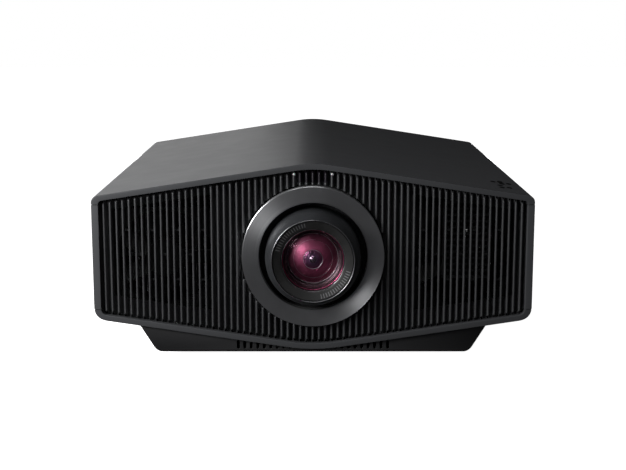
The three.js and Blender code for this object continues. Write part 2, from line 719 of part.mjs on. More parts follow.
function buildFan(name, side) {
  const group = groupAt(side * FAN_X, FAN_FRONT, FAN_Z);
  const half = FAN_SIZE / 2;
  const arms = [
    block([-FAN_BORE, FAN_BORE], [FAN_DEPTH - 3, FAN_DEPTH], [-2.5, 2.5]),
    block([-2.5, 2.5], [FAN_DEPTH - 3, FAN_DEPTH], [-FAN_BORE, FAN_BORE]),
  ];
  const frame = cut(
    block([-half, half], [0, FAN_DEPTH], [-half, half]),
    rod('y', FAN_BORE, -1, FAN_DEPTH + 1, [0, 0], 32),
  );
  const seat = rod('y', 19, FAN_DEPTH - 3, FAN_DEPTH, [0, 0], 20);
  piece(`fan_frame_${name}`, join(frame, seat, ...arms), darkPlastic, group);

  const hub = rod('y', 20, 1.5, FAN_DEPTH - 4, [0, 0], 20);
  const blades = [];
  const bladeCount = 7;
  for (let k = 0; k < bladeCount; k += 1) {
    const blade = new THREE.BoxGeometry(33, 1.8, 20);
    blade.rotateX(THREE.MathUtils.degToRad(38));
    blade.translate(33, 11, 0);
    blade.rotateY((2 * Math.PI * k) / bladeCount);
    blades.push(solid(blade));
  }
  piece(`fan_rotor_${name}`, join(hub, ...blades), darkPlastic, group);
}

// ---------------------------------------------------------------- boards

function buildBoards() {
  const back = (distance) => FRONT + distance;
  const board = block([85, 205], [back(290), back(480)], [62, 63.6]);
  const legs = [];
  for (const x of [92, 160]) {
    for (const y of [300, 470]) {
      legs.push(rod('z', 4, x > 150 ? 40 : FLOOR_TOP, 63, [x, back(y)], 8));
    }
  }
  const transformer = block([120, 160], [back(320), back(365)], [63, 100]);
  const choke = rod('z', 16, 63, 88, [180, back(400)], 16);
  const capacitors = [0, 1, 2].map((k) => rod('z', 11, 63, 104, [108 + 26 * k, back(400)], 14));
  const coolers = [0, 1].map((k) => block([95 + 60 * k, 99 + 60 * k], [back(430), back(470)], [63, 98]));
  piece('power_supply', join(board, ...legs, transformer, choke, ...capacitors, ...coolers), boardGreen);

  const logic = block([-200, -28], [back(330), back(495)], [58, 59.6]);
  const posts = [];
  for (const x of [-140, -40]) {
    for (const y of [340, 485]) {
      posts.push(rod('z', 4, FLOOR_TOP, 59, [x, back(y)], 8));
    }
  }
  const chips = [
    block([-130, -90], [back(380), back(420)], [59, 63]),
    block([-70, -46], [back(390), back(414)], [59, 62]),
    block([-180, -150], [back(370), back(390)], [59, 62]),
    block([-180, -150], [back(410), back(430)], [59, 62]),
  ];
  const coolerFins = [];
  for (let x = -130; x < -90; x += 8) {
    coolerFins.push(block([x, x + 2], [back(380), back(420)], [62, 78]));
  }
  piece('main_board', join(logic, ...posts, ...chips, ...coolerFins), boardGreen);
}

// ---------------------------------------------------------------- keys and feet

function buildKeys() {
  const flangeTop = -WALL - GAP;
  const profile = [
    [0, KEY_PROUD],
    [KEY_RADIUS - 0.4, KEY_PROUD],
    [KEY_RADIUS, KEY_PROUD - 0.4],
    [KEY_RADIUS, flangeTop],
    [KEY_RADIUS + 1, flangeTop],
    [KEY_RADIUS + 1, flangeTop - 1],
    [0, flangeTop - 1],
  ];
  for (const key of KEYS) {
    const [u, v] = keyPlace(key);
    const mesh = piece(key[0], turned(profile, 10), keyPlastic, keyField);
    mesh.rotation.x = Math.PI / 2;
    mesh.position.set(u, v, 0);
  }
  const boardTop = flangeTop - 1 - KEY_TRAVEL - GAP;
  piece('key_board', block([-13, 13], [-36, 36], [boardTop - 1.6, boardTop]), boardGreen, keyField);
}

function buildFeet() {
  const padTop = 5;
  const collarTop = 9;
  const pad = [
    [0, 0],
    [FOOT_RADIUS - 1, 0],
    [FOOT_RADIUS, 1],
    [FOOT_RADIUS, 3.5],
    [12, padTop],
    [0, padTop],
  ];
  const screw = [
    [0, padTop + GAP],
    [8, padTop + GAP],
    [8, collarTop],
    [4, collarTop],
    [4, 34],
    [0, 34],
  ];
  const fixedFoot = [
    [0, 0],
    [FOOT_RADIUS - 1, 0],
    [FOOT_RADIUS, 1],
    [FOOT_RADIUS, TUB_BOTTOM - GAP],
    [0, TUB_BOTTOM - GAP],
  ];
  for (const [name, side] of [['left', -1], ['right', 1]]) {
    const front = groupAt(side * FRONT_FOOT.x, FRONT_FOOT.y, 0);
    front.rotation.x = Math.PI / 2;
    piece(`front_foot_pad_${name}`, turned(pad, 20), rubber, front);
    piece(`front_foot_screw_${name}`, turned(screw, 16), steel, front);
    const rear = groupAt(side * REAR_FOOT.x, REAR_FOOT.y, 0);
    rear.rotation.x = Math.PI / 2;
    piece(`rear_foot_${name}`, turned(fixedFoot, 20), rubber, rear);
  }
}

buildCasing();
buildTub();
buildRear();
buildFront();
buildLensTrim();
buildLens();
buildDrive('focus', FOCUS_AT, THREE.MathUtils.degToRad(135), 31);
buildDrive('zoom', ZOOM_AT, THREE.MathUtils.degToRad(45), 84);
buildShift();
buildEngine();
buildFan('left', -1);
buildFan('right', 1);
buildBoards();
buildKeys();
buildFeet();

export default projector;
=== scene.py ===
import math

import bmesh
import bpy
from mathutils import Matrix, Vector


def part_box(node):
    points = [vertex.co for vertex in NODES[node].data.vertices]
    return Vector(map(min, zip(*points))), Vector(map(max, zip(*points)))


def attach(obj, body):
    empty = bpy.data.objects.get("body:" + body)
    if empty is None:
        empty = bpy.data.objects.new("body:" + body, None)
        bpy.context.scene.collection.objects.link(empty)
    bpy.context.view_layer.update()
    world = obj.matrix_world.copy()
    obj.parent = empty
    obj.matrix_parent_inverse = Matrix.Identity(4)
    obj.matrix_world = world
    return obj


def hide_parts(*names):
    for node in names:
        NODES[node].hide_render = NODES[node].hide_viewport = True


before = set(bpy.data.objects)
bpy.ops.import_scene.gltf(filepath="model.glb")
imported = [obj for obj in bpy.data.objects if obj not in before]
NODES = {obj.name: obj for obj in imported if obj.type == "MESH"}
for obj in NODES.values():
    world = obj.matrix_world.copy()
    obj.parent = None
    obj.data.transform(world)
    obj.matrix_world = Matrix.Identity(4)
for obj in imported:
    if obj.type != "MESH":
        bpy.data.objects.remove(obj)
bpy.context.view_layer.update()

MM = 0.001  # shapes below are in millimetres, in the frame's own axes

# ---- sizes taken from the frame


def box_mm(node):
    low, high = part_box(node)
    return low / MM, high / MM


FRONT = box_mm("top_cover")[0].y
REAR = box_mm("top_cover")[1].y
HALF = box_mm("side_panel_right")[1].x
LENS_Z = sum(corner.z for corner in box_mm("lens_ring")) / 2
RING_OUTER = box_mm("lens_ring")[1].x
NOSE_FRONT = box_mm("lens_barrel")[0].y - FRONT
WINDOW_LOW = box_mm("receiver_window")[0].z
WINDOW_HALF = box_mm("receiver_window")[1].x
LIGHT_PIPES = ("status_light_pipe", "warning_light_pipe")

# ---- casing outline, as in the part

WALL = 3.0
GAP = 0.3
RIDGE = 211.7
ROOF_SLOPE = 0.155
RIDGE_BLEND = 20.0
KEEL = 11.0
KEEL_SLOPE = 0.151
KEEL_BLEND = 28.0
SHOULDER = 7.0
SKIRT = 13.5
SEAM_TOP = 167.5
SEAM_LOW = 56.0
SEAM_WIDTH = 0.8
LIP = (6.0, 7.5, 6.2)  # bezel width along the roof, the sides and the underside
LIP_DEPTH = 12.0
EDGE = 0.9  # rounding of the casing's outer rims
TIGHTEST_BEND = 4.0

RIB_PITCH = 6.59
RIB_WIDTH = 2.2
RIBS_EACH_SIDE = 33
RIB_FRONT = FRONT + 3
FLUTE_EDGE = FRONT + 5.4
FLUTE_DEPTH = 4.4
BACKING_FRONT = FRONT + 9
BACKING_BACK = FRONT + 12
RIB_END_GAP = 0.8
VENT_INNER = 105.8
VENT_OUTER = 210.0
VENT_BELOW_ROOF = 18.0
VENT_ABOVE_KEEL = 26.0
TIE_HEIGHTS = (86.5, 113.5, 139.5)
LENS_HOLE = RING_OUTER + 1.2

FINE = 14  # points along each rounded stretch of the casing


def curve(start, pull, end, steps):
    """Points of a quadratic curve, without its last one."""
    points = []
    for i in range(steps):
        t = i / steps
        a, b, c = (1 - t) ** 2, 2 * t * (1 - t), t * t
        points.append(tuple(a * p + b * q + c * r for p, q, r in zip(start, pull, end)))
    return points


def section(roof_inset, side_inset=None, keel_inset=None):
    """Front outline of the casing as (x, z) points, moved in from the outer surface."""
    side_inset = roof_inset if side_inset is None else side_inset
    keel_inset = roof_inset if keel_inset is None else keel_inset
    half = HALF - side_inset
    ridge = RIDGE - roof_inset * math.hypot(1, ROOF_SLOPE)
    keel = KEEL + keel_inset * math.hypot(1, KEEL_SLOPE)

    def roof(x):
        return ridge - ROOF_SLOPE * x

    def under(x):
        return keel + KEEL_SLOPE * x

    shoulder = max(SHOULDER - side_inset, TIGHTEST_BEND)
    skirt = max(SKIRT - side_inset, TIGHTEST_BEND)
    ridge_top = (roof(RIDGE_BLEND) + ridge) / 2
    keel_foot = (under(KEEL_BLEND) + keel) / 2
    ridge_end = (RIDGE_BLEND, roof(RIDGE_BLEND))
    shoulder_start = (half - shoulder, roof(half - shoulder))
    shoulder_end = (half, roof(half) - shoulder)
    skirt_start = (half, under(half) + skirt)
    skirt_end = (half - skirt, under(half - skirt))
    keel_start = (KEEL_BLEND, under(KEEL_BLEND))
    right = [
        *curve((0, ridge_top), (RIDGE_BLEND / 2, ridge_top), ridge_end, FINE),
        ridge_end,
        *curve(shoulder_start, (half, roof(half)), shoulder_end, FINE),
        shoulder_end,
        *curve(skirt_start, (half, under(half)), skirt_end, FINE),
        skirt_end,
        *curve(keel_start, (KEEL_BLEND / 2, keel_foot), (0, keel_foot), FINE),
        (0, keel_foot),
    ]
    left = [(-x, z) for x, z in reversed(right) if x > 0]
    return right + left


def heights_at(x, insets):
    """Lowest and highest z of the inset outline at a given x."""
    points = section(*insets)
    crossings = []
    for (x0, z0), (x1, z1) in zip(points, points[1:] + points[:1]):
        if x0 != x1 and min(x0, x1) <= x <= max(x0, x1):
            crossings.append(z0 + (z1 - z0) * (x - x0) / (x1 - x0))
    return min(crossings), max(crossings)


# ---- mesh tools

SHARP = 35  # an edge that turns by more degrees than this stays sharp
ROUNDING = 0.35  # radius that soften gives to an edge


class Shape:
    """Closed shells gathered into one mesh, in millimetres."""

    def __init__(self):
        self.points = []
        self.faces = []

    def add(self, points, faces):
        base = len(self.points)
        self.points += [tuple(p) for p in points]
        self.faces += [tuple(base + i for i in face) for face in faces]
        return self

    def loft(self, rings, closed=False):
        """A skin over equal rings, capped at its ends or, if closed, brought round to the first again."""
        n, m = len(rings[0]), len(rings)
        faces = []
        for r in range(m if closed else m - 1):
            s = (r + 1) % m
            for i in range(n):
                j = (i + 1) % n
                faces.append((r * n + i, r * n + j, s * n + j, s * n + i))
        if not closed:
            faces.append(tuple(reversed(range(n))))
            faces.append(tuple((m - 1) * n + i for i in range(n)))
        return self.add([p for ring in rings for p in ring], faces)

    def turned(self, profile, centre, steps, axis="y"):
        """A profile of (radius, distance) pairs turned about an axis through the centre.

        A profile that starts away from the axis closes on itself; any other starts and ends on the axis.
        """
        rings = [[place_polar(r, d, 2 * math.pi * k / steps, centre, axis) for r, d in profile]
                 for k in range(steps)]
        if profile[0][0] > 0:
            return self.loft(rings, closed=True)
        n = len(profile)
        points = [rings[0][0], *[p for ring in rings for p in ring[1:-1]], rings[0][-1]]
        inner, last = n - 2, 1 + (n - 2) * steps
        faces = []
        for k in range(steps):
            here, there = 1 + k * inner, 1 + ((k + 1) % steps) * inner
            faces.append((0, here, there))
            faces.append((last, there + inner - 1, here + inner - 1))
            for i in range(inner - 1):
                faces.append((here + i, here + i + 1, there + i + 1, there + i))
        return self.add(points, faces)

    def round_cutter(self, radius, low, high, centre, steps):
        """A rod along Z to cut a round hole with. centre holds its x and y."""
        edge = 0.01
        profile = [(0, low), (radius - edge, low), (radius, low + edge),
                   (radius, high - edge), (radius - edge, high), (0, high)]
        return self.turned(profile, (*centre, 0), steps, "z")

    def block(self, x_limits, y_limits, z_limits, edge):
        """A block with chamfered edges between the (low, high) limits on each axis."""
        y0, y1 = y_limits
        shortest = min(high - low for low, high in (x_limits, y_limits, z_limits))
        edge = min(edge, shortest / 3)

        def ring(inset, depth):
            x0, x1 = x_limits[0] + inset, x_limits[1] - inset
            z0, z1 = z_limits[0] + inset, z_limits[1] - inset
            outline = [(x0 + edge, z0), (x1 - edge, z0), (x1, z0 + edge), (x1, z1 - edge),
                       (x1 - edge, z1), (x0 + edge, z1), (x0, z1 - edge), (x0, z0 + edge)]
            return [(x, depth, z) for x, z in outline]

        inset = edge * 0.7
        return self.loft([ring(inset, y0), ring(0, y0 + edge), ring(0, y1 - edge), ring(inset, y1)])

    def prism(self, outline, y0, y1):
        """An (x, z) outline drawn out along Y."""
        return self.loft([[(x, y, z) for x, z in outline] for y in (y0, y1)])


def place_polar(radius, distance, angle, centre, axis):
    """A point at a radius and angle about the Y or Z axis through the centre, and a distance along it."""
    u, v = radius * math.cos(angle), radius * math.sin(angle)
    cx, cy, cz = centre
    if axis == "y":
        return (cx + v, cy + distance, cz + u)
    return (cx + u, cy + v, cz + distance)


def shade(mesh, sharp):
    """Smooth shading, except over edges that turn by more than the given degrees."""
    mesh.polygons.foreach_set("use_smooth", [True] * len(mesh.polygons))
    mesh.set_sharp_from_angle(angle=math.radians(sharp))


def add_object(name, data):
    thing = bpy.data.objects.new(name, data)
    bpy.context.scene.collection.objects.link(thing)
    return thing


def make_mesh(name, shape, sharp=SHARP):
    """A Shape as a mesh in metres."""
    bm = bmesh.new()
    verts = [bm.verts.new(Vector(p) * MM) for p in shape.points]
    for face in shape.faces:
        bm.faces.new([verts[i] for i in face])
    bmesh.ops.recalc_face_normals(bm, faces=bm.faces)
    mesh = bpy.data.meshes.new(name)
    bm.to_mesh(mesh)
    bm.free()
    shade(mesh, sharp)
    return mesh


def make(name, shape, body, slot, stands_for=(), look=None, sharp=SHARP):
    """A finished piece from a Shape."""
    thing = add_object(name, make_mesh(name, shape, sharp))
    return flatten_shading(dress(thing, body, slot, stands_for, look))


def dress(thing, body, slot, stands_for=(), look=None):
    """Gives a piece its body, hides the CAD nodes it stands for and gives it a look, which has the slot's
    name unless it is given."""
    thing.data.materials.clear()
    thing.data.materials.append(LOOKS[look or slot])
    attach(thing, body)
    if stands_for:
        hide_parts(*stands_for)
    return thing


def carve(name, shape, cutters, keep="DIFFERENCE"):
    """The shape with every cutter taken out of it (or, with INTERSECT, only what lies in the cutter)."""
    return cut(add_object(name, make_mesh(name, shape)), cutters, keep)


def cut(thing, cutters, keep="DIFFERENCE"):
    """The same piece after a boolean with each cutter in turn."""
    for cutter in cutters:
        tool = add_object("tool", make_mesh("tool", cutter))
        step = thing.modifiers.new("cut", "BOOLEAN")
        step.operation = keep
        step.solver = "EXACT"
        step.object = tool
        apply_modifiers(thing)
        bpy.data.objects.remove(tool)
    clean(thing.data)
    return flatten_shading(thing)


def flatten_shading(thing):
    """Lets the wide faces set the shading, so that a rounded rim doesn't tint the flat beside it."""
    step = thing.modifiers.new("flat", "WEIGHTED_NORMAL")
    step.mode = "FACE_AREA"
    step.weight = 80
    step.keep_sharp = True
    return thing


def apply_modifiers(thing):
    graph = bpy.context.evaluated_depsgraph_get()
    mesh = bpy.data.meshes.new_from_object(thing.evaluated_get(graph))
    thing.modifiers.clear()
    thing.data = mesh


def clean(mesh):
    """Merges doubled corners, drops slivers and sets which edges stay sharp."""
    bm = bmesh.new()
    bm.from_mesh(mesh)
    bmesh.ops.remove_doubles(bm, verts=bm.verts, dist=1e-6)
    bmesh.ops.dissolve_degenerate(bm, edges=bm.edges, dist=1e-7)
    bmesh.ops.recalc_face_normals(bm, faces=bm.faces)
    bm.to_mesh(mesh)
    bm.free()
    shade(mesh, SHARP)


def soften(thing, angle):
    """Rounds a piece's edges that turn by more than the given degrees."""
    bevel = thing.modifiers.new("edges", "BEVEL")
    bevel.width = ROUNDING * MM
    bevel.segments = 2
    bevel.limit_method = "ANGLE"
    bevel.angle_limit = math.radians(angle)
    bevel.harden_normals = True


# ---- materials

LOOKS = {}


class Look:
    """A node material built from a few procedural layers, and kept in LOOKS under its name."""

    def __init__(self, name):
        self.material = bpy.data.materials.new(name)
        LOOKS[name] = self.material
        self.material.use_nodes = True
        self.nodes = self.material.node_tree.nodes
        self.links = self.material.node_tree.links
        self.shader = self.nodes["Principled BSDF"]
        self.place = self.nodes.new("ShaderNodeTexCoord").outputs["Object"]

    def socket(self, name, value):
        """Sets a number or colour that is the same all over the surface."""
        self.shader.inputs[name].default_value = value

    def add(self, kind, inputs=(), **settings):
        node = self.nodes.new(kind)
        for key, value in settings.items():
            setattr(node, key, value)
        for key, value in dict(inputs).items():
            if isinstance(value, bpy.types.NodeSocket):
                self.links.new(value, node.inputs[key])
            else:
                node.inputs[key].default_value = value
        return node

    def noise(self, scale, detail, vector=None, roughness=0.55):
        node = self.add("ShaderNodeTexNoise", {"Vector": vector or self.place, "Scale": scale,
                                               "Detail": detail, "Roughness": roughness})
        return node.outputs["Fac"]

    def ramp(self, value, stops):
        node = self.add("ShaderNodeValToRGB", {"Fac": value})
        elements = node.color_ramp.elements
        while len(elements) < len(stops):
            elements.new(0.5)
        for element, (at, colour) in zip(elements, stops):
            element.position = at
            element.color = (*colour, 1) if len(colour) == 3 else colour
        return node.outputs["Color"]

    def between(self, value, first, second):
        """A colour that goes from one to the other over the middle of a noise's range."""
        return self.ramp(value, [(0.3, first), (0.7, second)])

    def rough(self, value, low, high):
        """Roughness that goes from low to high over the middle of a noise's range."""
        self.to("Roughness", self.span(value, low, high, 0.3, 0.7))

    def span(self, value, low, high, start, end):
        """The value, carried from start..end to low..high."""
        node = self.add("ShaderNodeMapRange", {"Value": value, "From Min": start, "From Max": end,
                                               "To Min": low, "To Max": high})
        return node.outputs["Result"]

    def math(self, operation, a, b=0.0):
        return self.add("ShaderNodeMath", {0: a, 1: b}, operation=operation).outputs[0]

    def mix(self, factor, a, b, blend="MIX"):
        node = self.add("ShaderNodeMix", {"Factor": factor, 6: a, 7: b}, data_type="RGBA", blend_type=blend)
        return node.outputs[2]

    def bump(self, height, strength, distance):
        node = self.add("ShaderNodeBump", {"Height": height, "Strength": strength, "Distance": distance})
        self.links.new(node.outputs["Normal"], self.shader.inputs["Normal"])

    def to(self, name, value):
        """Links a node's output to one of the shader's inputs."""
        self.links.new(value, self.shader.inputs[name])

    def from_lens_axis(self):
        """Sideways and upward distance from the lens axis, in metres."""
        centre = (0, 0, LENS_Z * MM)
        moved = self.add("ShaderNodeVectorMath", {0: self.place, 1: centre}, operation="SUBTRACT").outputs[0]
        parts = self.add("ShaderNodeSeparateXYZ", {0: moved}).outputs
        return parts[0], parts[2]

    def lens_radius(self):
        x, z = self.from_lens_axis()
        squares = self.math("ADD", self.math("MULTIPLY", x, x), self.math("MULTIPLY", z, z))
        return self.math("SQRT", squares)

    def lens_angle(self):
        return self.math("ARCTAN2", *self.from_lens_axis())

    def turning_marks(self, along, scale):
        """Fine noise that changes only with one distance."""
        inputs = {"W": along, "Scale": scale, "Detail": 2.0}
        return self.add("ShaderNodeTexNoise", inputs, noise_dimensions="1D").outputs["Fac"]


def grey(value):
    return (value, value, value)


def moulded(name, light, dark, roughness, grain, depth):
    """Moulded plastic: a fine spark-eroded grain, slow colour drift, faint handling marks, pale edges."""
    look = Look(name)
    drift = look.noise(9, 4)
    speckle = look.noise(grain * 0.6, 2)
    base = look.between(drift, dark, light)
    fleck = look.ramp(speckle, [(0.35, grey(0.86)), (0.65, grey(1.0))])
    tinted = look.mix(1.0, base, fleck, "MULTIPLY")
    worn = look.ramp(look.add("ShaderNodeNewGeometry").outputs["Pointiness"],
                     [(0.52, grey(0.0)), (0.64, grey(0.35))])
    paler = tuple(min(1, c * 1.9 + 0.02) for c in light)
    look.to("Base Color", look.mix(worn, tinted, (*paler, 1)))
    marks = look.noise(34, 5)
    look.rough(marks, roughness - 0.015, roughness + 0.015)
    fine = look.noise(grain, 2, roughness=0.7)
    look.bump(fine, 0.3, depth)


def spun_metal():
    """Lathe-turned metal: concentric tool marks and a stretched highlight round the lens axis."""
    look = Look("spun_metal")
    radius = look.lens_radius()
    rings = look.turning_marks(radius, 5200.0)
    slow = look.turning_marks(radius, 700.0)
    stain = look.noise(40, 3)
    tone = look.between(rings, (0.58, 0.585, 0.60), (0.65, 0.655, 0.67))
    soft = look.between(stain, grey(0.88), grey(1.0))
    look.to("Base Color", look.mix(1.0, tone, soft, "MULTIPLY"))
    look.rough(slow, 0.30, 0.37)
    look.bump(rings, 0.22, 0.00002)
    look.socket("Metallic", 0.96)
    look.socket("Anisotropic", 0.82)
    look.socket("Anisotropic Rotation", 0.25)
    tangent = look.add("ShaderNodeTangent", direction_type="RADIAL", axis="Y")
    look.to("Tangent", tangent.outputs["Tangent"])


def anodised(name, tone, roughness, metallic):
    """Black anodised metal with faint turning marks round the lens axis."""
    look = Look(name)
    parts = look.add("ShaderNodeSeparateXYZ", {0: look.place}).outputs
    along = look.math("ADD", look.lens_radius(), look.math("MULTIPLY", parts[1], 0.7))
    rings = look.turning_marks(along, 4200.0)
    drift = look.noise(30, 3)
    look.to("Base Color", look.between(drift, tuple(c * 0.8 for c in tone), tone))
    look.rough(rings, roughness - 0.05, roughness + 0.08)
    look.bump(rings, 0.25, 0.00002)
    look.socket("Metallic", metallic)
    look.socket("Specular IOR Level", 0.3)


TICKS = 84  # in a full turn, of which two arcs are shown
TICK_RADII = (0.0358, 0.0403)  # metres from the lens axis
TICK_ARC_TURN = 0.75  # radians
TICK_ARC_COSINE = 0.86  # of half an arc's angle


def name_band():
    """Matt black ring face with a generic scale of short radial ticks along two arcs."""
    look = Look("name_band")
    radius = look.lens_radius()
    angle = look.lens_angle()
    wave = look.math("ABSOLUTE", look.math("SINE", look.math("MULTIPLY", angle, TICKS / 2)))
    thin = look.math("LESS_THAN", wave, 0.5)
    past_inner = look.math("GREATER_THAN", radius, TICK_RADII[0])
    before_outer = look.math("LESS_THAN", radius, TICK_RADII[1])
    inside = look.math("MULTIPLY", past_inner, before_outer)
    off_middle = look.math("COSINE", look.math("ADD", angle, TICK_ARC_TURN))
    arc = look.math("GREATER_THAN", look.math("ABSOLUTE", off_middle), TICK_ARC_COSINE)
    tick = look.math("MULTIPLY", look.math("MULTIPLY", thin, inside), arc)
    mottled = look.between(look.noise(60, 3), grey(0.010), grey(0.018))
    look.to("Base Color", look.mix(tick, mottled, (0.13, 0.13, 0.135, 1)))
    look.rough(look.noise(900, 2), 0.42, 0.58)
    look.bump(look.noise(3500, 2), 0.3, 0.00002)
    look.socket("Specular IOR Level", 0.38)


def coated_glass(name, tint, reflection):
    """Lens glass with a coloured anti-reflection coating and a trace of haze."""
    look = Look(name)
    hazed = tuple(c * 0.96 for c in tint)
    look.to("Base Color", look.ramp(look.noise(55, 4), [(0.35, tint), (0.75, hazed)]))
    look.socket("Roughness", 0.0)
    look.socket("IOR", 1.16)
    look.socket("Transmission Weight", 1.0)
    look.socket("Specular Tint", (*reflection, 1))


def coated_mirror(name, reach, roughness, *tones):
    """A coated inner lens face, whose tones follow each other from the lens axis to the reach in metres.
    Besides the coating's own tint, a paler middle in the tones is a painted highlight and a darker rim is
    painted shade.
    """
    look = Look(name)
    last = len(tones) - 1
    stops = [(i / last, tone) for i, tone in enumerate(tones)]
    look.to("Base Color", look.ramp(look.math("DIVIDE", look.lens_radius(), reach), stops))
    look.rough(look.noise(70, 3), roughness * 0.8, roughness * 1.2)
    look.socket("Metallic", 1.0)
    look.socket("Coat Weight", 0.6)
    look.socket("Coat Roughness", 0.3)


def smoked():
    """Dark plastic of the receiver window."""
    look = Look("smoked_plastic")
    look.to("Base Color", look.between(look.noise(25, 3), (0.010, 0.009, 0.012), (0.02, 0.016, 0.022)))
    look.rough(look.noise(60, 4), 0.34, 0.44)
    look.socket("Coat Weight", 0.15)
    look.socket("Coat Roughness", 0.2)


def light_pipe():
    """Milky plastic that glows faintly."""
    look = Look("light_pipe")
    milky = look.between(look.noise(300, 3), (0.55, 0.56, 0.58), (0.8, 0.8, 0.82))
    look.to("Base Color", milky)
    look.to("Emission Color", milky)
    look.rough(look.noise(200, 2), 0.15, 0.3)
    look.socket("Emission Strength", 0.12)
    look.socket("Subsurface Weight", 0.2)
    look.socket("Subsurface Scale", 0.001)


def brushed(name, light, dark, roughness, scales):
    """Metal with fine marks, drawn out along the axis that has the smallest of the three scales."""
    look = Look(name)
    mapped = look.add("ShaderNodeMapping", {"Vector": look.place, "Scale": scales}).outputs[0]
    marks = look.noise(1.0, 4, mapped, 0.65)
    blotch = look.noise(30, 4)
    tone = look.between(marks, dark, light)
    stain = look.between(blotch, grey(0.8), grey(1.0))
    look.to("Base Color", look.mix(1.0, tone, stain, "MULTIPLY"))
    look.rough(blotch, roughness - 0.08, roughness + 0.1)
    look.bump(marks, 0.3, 0.00003)
    look.socket("Metallic", 1.0)


def cast_aluminium():
    """Cast metal with a gritty skin."""
    look = Look("cast_aluminium")
    grit = look.noise(1500, 4, roughness=0.7)
    blotch = look.noise(22, 4)
    look.to("Base Color", look.between(blotch, (0.42, 0.43, 0.44), (0.58, 0.59, 0.6)))
    look.rough(grit, 0.38, 0.62)
    look.bump(grit, 0.6, 0.0001)
    look.socket("Metallic", 0.9)


def circuit_board():
    """Green solder mask with copper tracks, pads and pale lands."""
    look = Look("circuit_board")
    tracks = {"Vector": look.place, "Scale": 220.0, "Mortar Size": 0.012, "Mortar": (0.03, 0.19, 0.08, 1),
              "Color1": (0.012, 0.07, 0.03, 1), "Color2": (0.016, 0.10, 0.045, 1)}
    cells = look.add("ShaderNodeTexBrick", tracks)
    dots = look.add("ShaderNodeTexVoronoi", {"Vector": look.place, "Scale": 330.0}).outputs["Distance"]
    pad = look.math("LESS_THAN", dots, 0.13)
    look.to("Base Color", look.mix(pad, cells.outputs["Color"], (0.55, 0.5, 0.36, 1)))
    look.rough(look.noise(90, 3), 0.28, 0.45)
    look.to("Metallic", look.math("MULTIPLY", pad, 0.8))
    look.bump(cells.outputs["Fac"], 0.4, 0.00008)


def key_plastic():
    """Dull black plastic, worn unevenly by fingers."""
    look = Look("key_plastic")
    smudge = look.noise(260, 4)
    look.to("Base Color", look.between(look.noise(40, 3), grey(0.002), grey(0.005)))
    look.to("Roughness", look.span(smudge, 0.8, 0.95, 0.35, 0.7))
    look.bump(look.noise(1800, 2), 0.12, 0.00002)
    look.socket("Specular IOR Level", 0.08)


def rubber():
    """Black rubber under an uneven layer of dust."""
    look = Look("foot_rubber")
    grain = look.noise(2600, 3, roughness=0.7)
    dust = look.noise(70, 5)
    look.to("Base Color", look.ramp(dust, [(0.35, grey(0.010)), (0.75, grey(0.026))]))
    look.rough(dust, 0.7, 0.92)
    look.bump(grain, 0.7, 0.00008)


def phosphor():
    """The yellow grains on the wheel that the laser lights."""
    look = Look("phosphor_disc")
    grains = look.noise(1400, 3)
    look.to("Base Color", look.between(grains, (0.62, 0.52, 0.06), (0.85, 0.74, 0.13)))
    look.rough(grains, 0.45, 0.75)
    look.bump(grains, 0.4, 0.00005)


def foam():
    """Open-celled black filter foam."""
    look = Look("filter_foam")
    cells = look.add("ShaderNodeTexVoronoi", {"Vector": look.place, "Scale": 620.0}).outputs["Distance"]
    look.to("Base Color", look.ramp(cells, [(0.15, grey(0.004)), (0.6, grey(0.05))]))
    look.rough(look.noise(200, 3), 0.85, 1.0)
    look.bump(cells, 1.0, 0.0006)


moulded("casing_plastic", (0.052, 0.0535, 0.057), (0.049, 0.0505, 0.054), 0.40, 5200, 0.00002)
moulded("rib_plastic", (0.042, 0.043, 0.045), (0.038, 0.039, 0.041), 0.42, 4200, 0.00002)
moulded("dark_plastic", (0.010, 0.010, 0.011), (0.008, 0.008, 0.009), 0.58, 2600, 0.00006)
spun_metal()
brushed("rim_metal", (0.5, 0.5, 0.52), (0.4, 0.4, 0.42), 0.3, (900, 900, 900))
anodised("lens_metal", (0.042, 0.044, 0.048), 0.42, 0.5)
name_band()
coated_glass("front_glass", (0.93, 0.78, 0.85), (1.0, 0.45, 0.7))
# The pink, violet and tip faces are paler in the middle and darker at the rim: a painted highlight near the
# lens axis and painted shade at the edge, over each coating's own tint.
coated_mirror("pink_coating", 0.027, 0.42, (0.25, 0.058, 0.12), (0.30, 0.066, 0.135), (0.12, 0.043, 0.066))
coated_mirror("violet_coating", 0.0097, 0.30, (0.30, 0.20, 0.32), (0.16, 0.08, 0.17), (0.2, 0.05, 0.12))
coated_mirror("tip_coating", 0.0036, 0.2, (0.42, 0.36, 0.44), (0.26, 0.18, 0.26))
coated_mirror("bevel_coating", 0.032, 0.42, (0.10, 0.075, 0.085), (0.09, 0.06, 0.07))
coated_mirror("edge_coating", 0.032, 0.3, (0.5, 0.08, 0.2), (0.6, 0.1, 0.24))
smoked()
light_pipe()
moulded("gear_plastic", (0.62, 0.60, 0.53), (0.55, 0.53, 0.46), 0.42, 900, 0.00004)
brushed("steel", (0.52, 0.53, 0.54), (0.34, 0.35, 0.36), 0.34, (2500, 2500, 60))
cast_aluminium()
brushed("copper", (0.72, 0.36, 0.18), (0.5, 0.22, 0.1), 0.32, (300, 2200, 2200))
circuit_board()
key_plastic()
rubber()
phosphor()
foam()

# ---- camera, light and floor

CAMERA_PLACE = (0.0, -1.5175, 0.371)
CAMERA_PITCH = 10.48  # degrees below the horizon
CAMERA_LENS = 71.54


def build_camera():
    data = bpy.data.cameras.new("camera")
    data.lens = CAMERA_LENS
    data.sensor_width = 36
    camera = add_object("camera", data)
    camera.location = CAMERA_PLACE
    camera.rotation_euler = (math.radians(90 - CAMERA_PITCH), 0, 0)
    bpy.context.scene.camera = camera


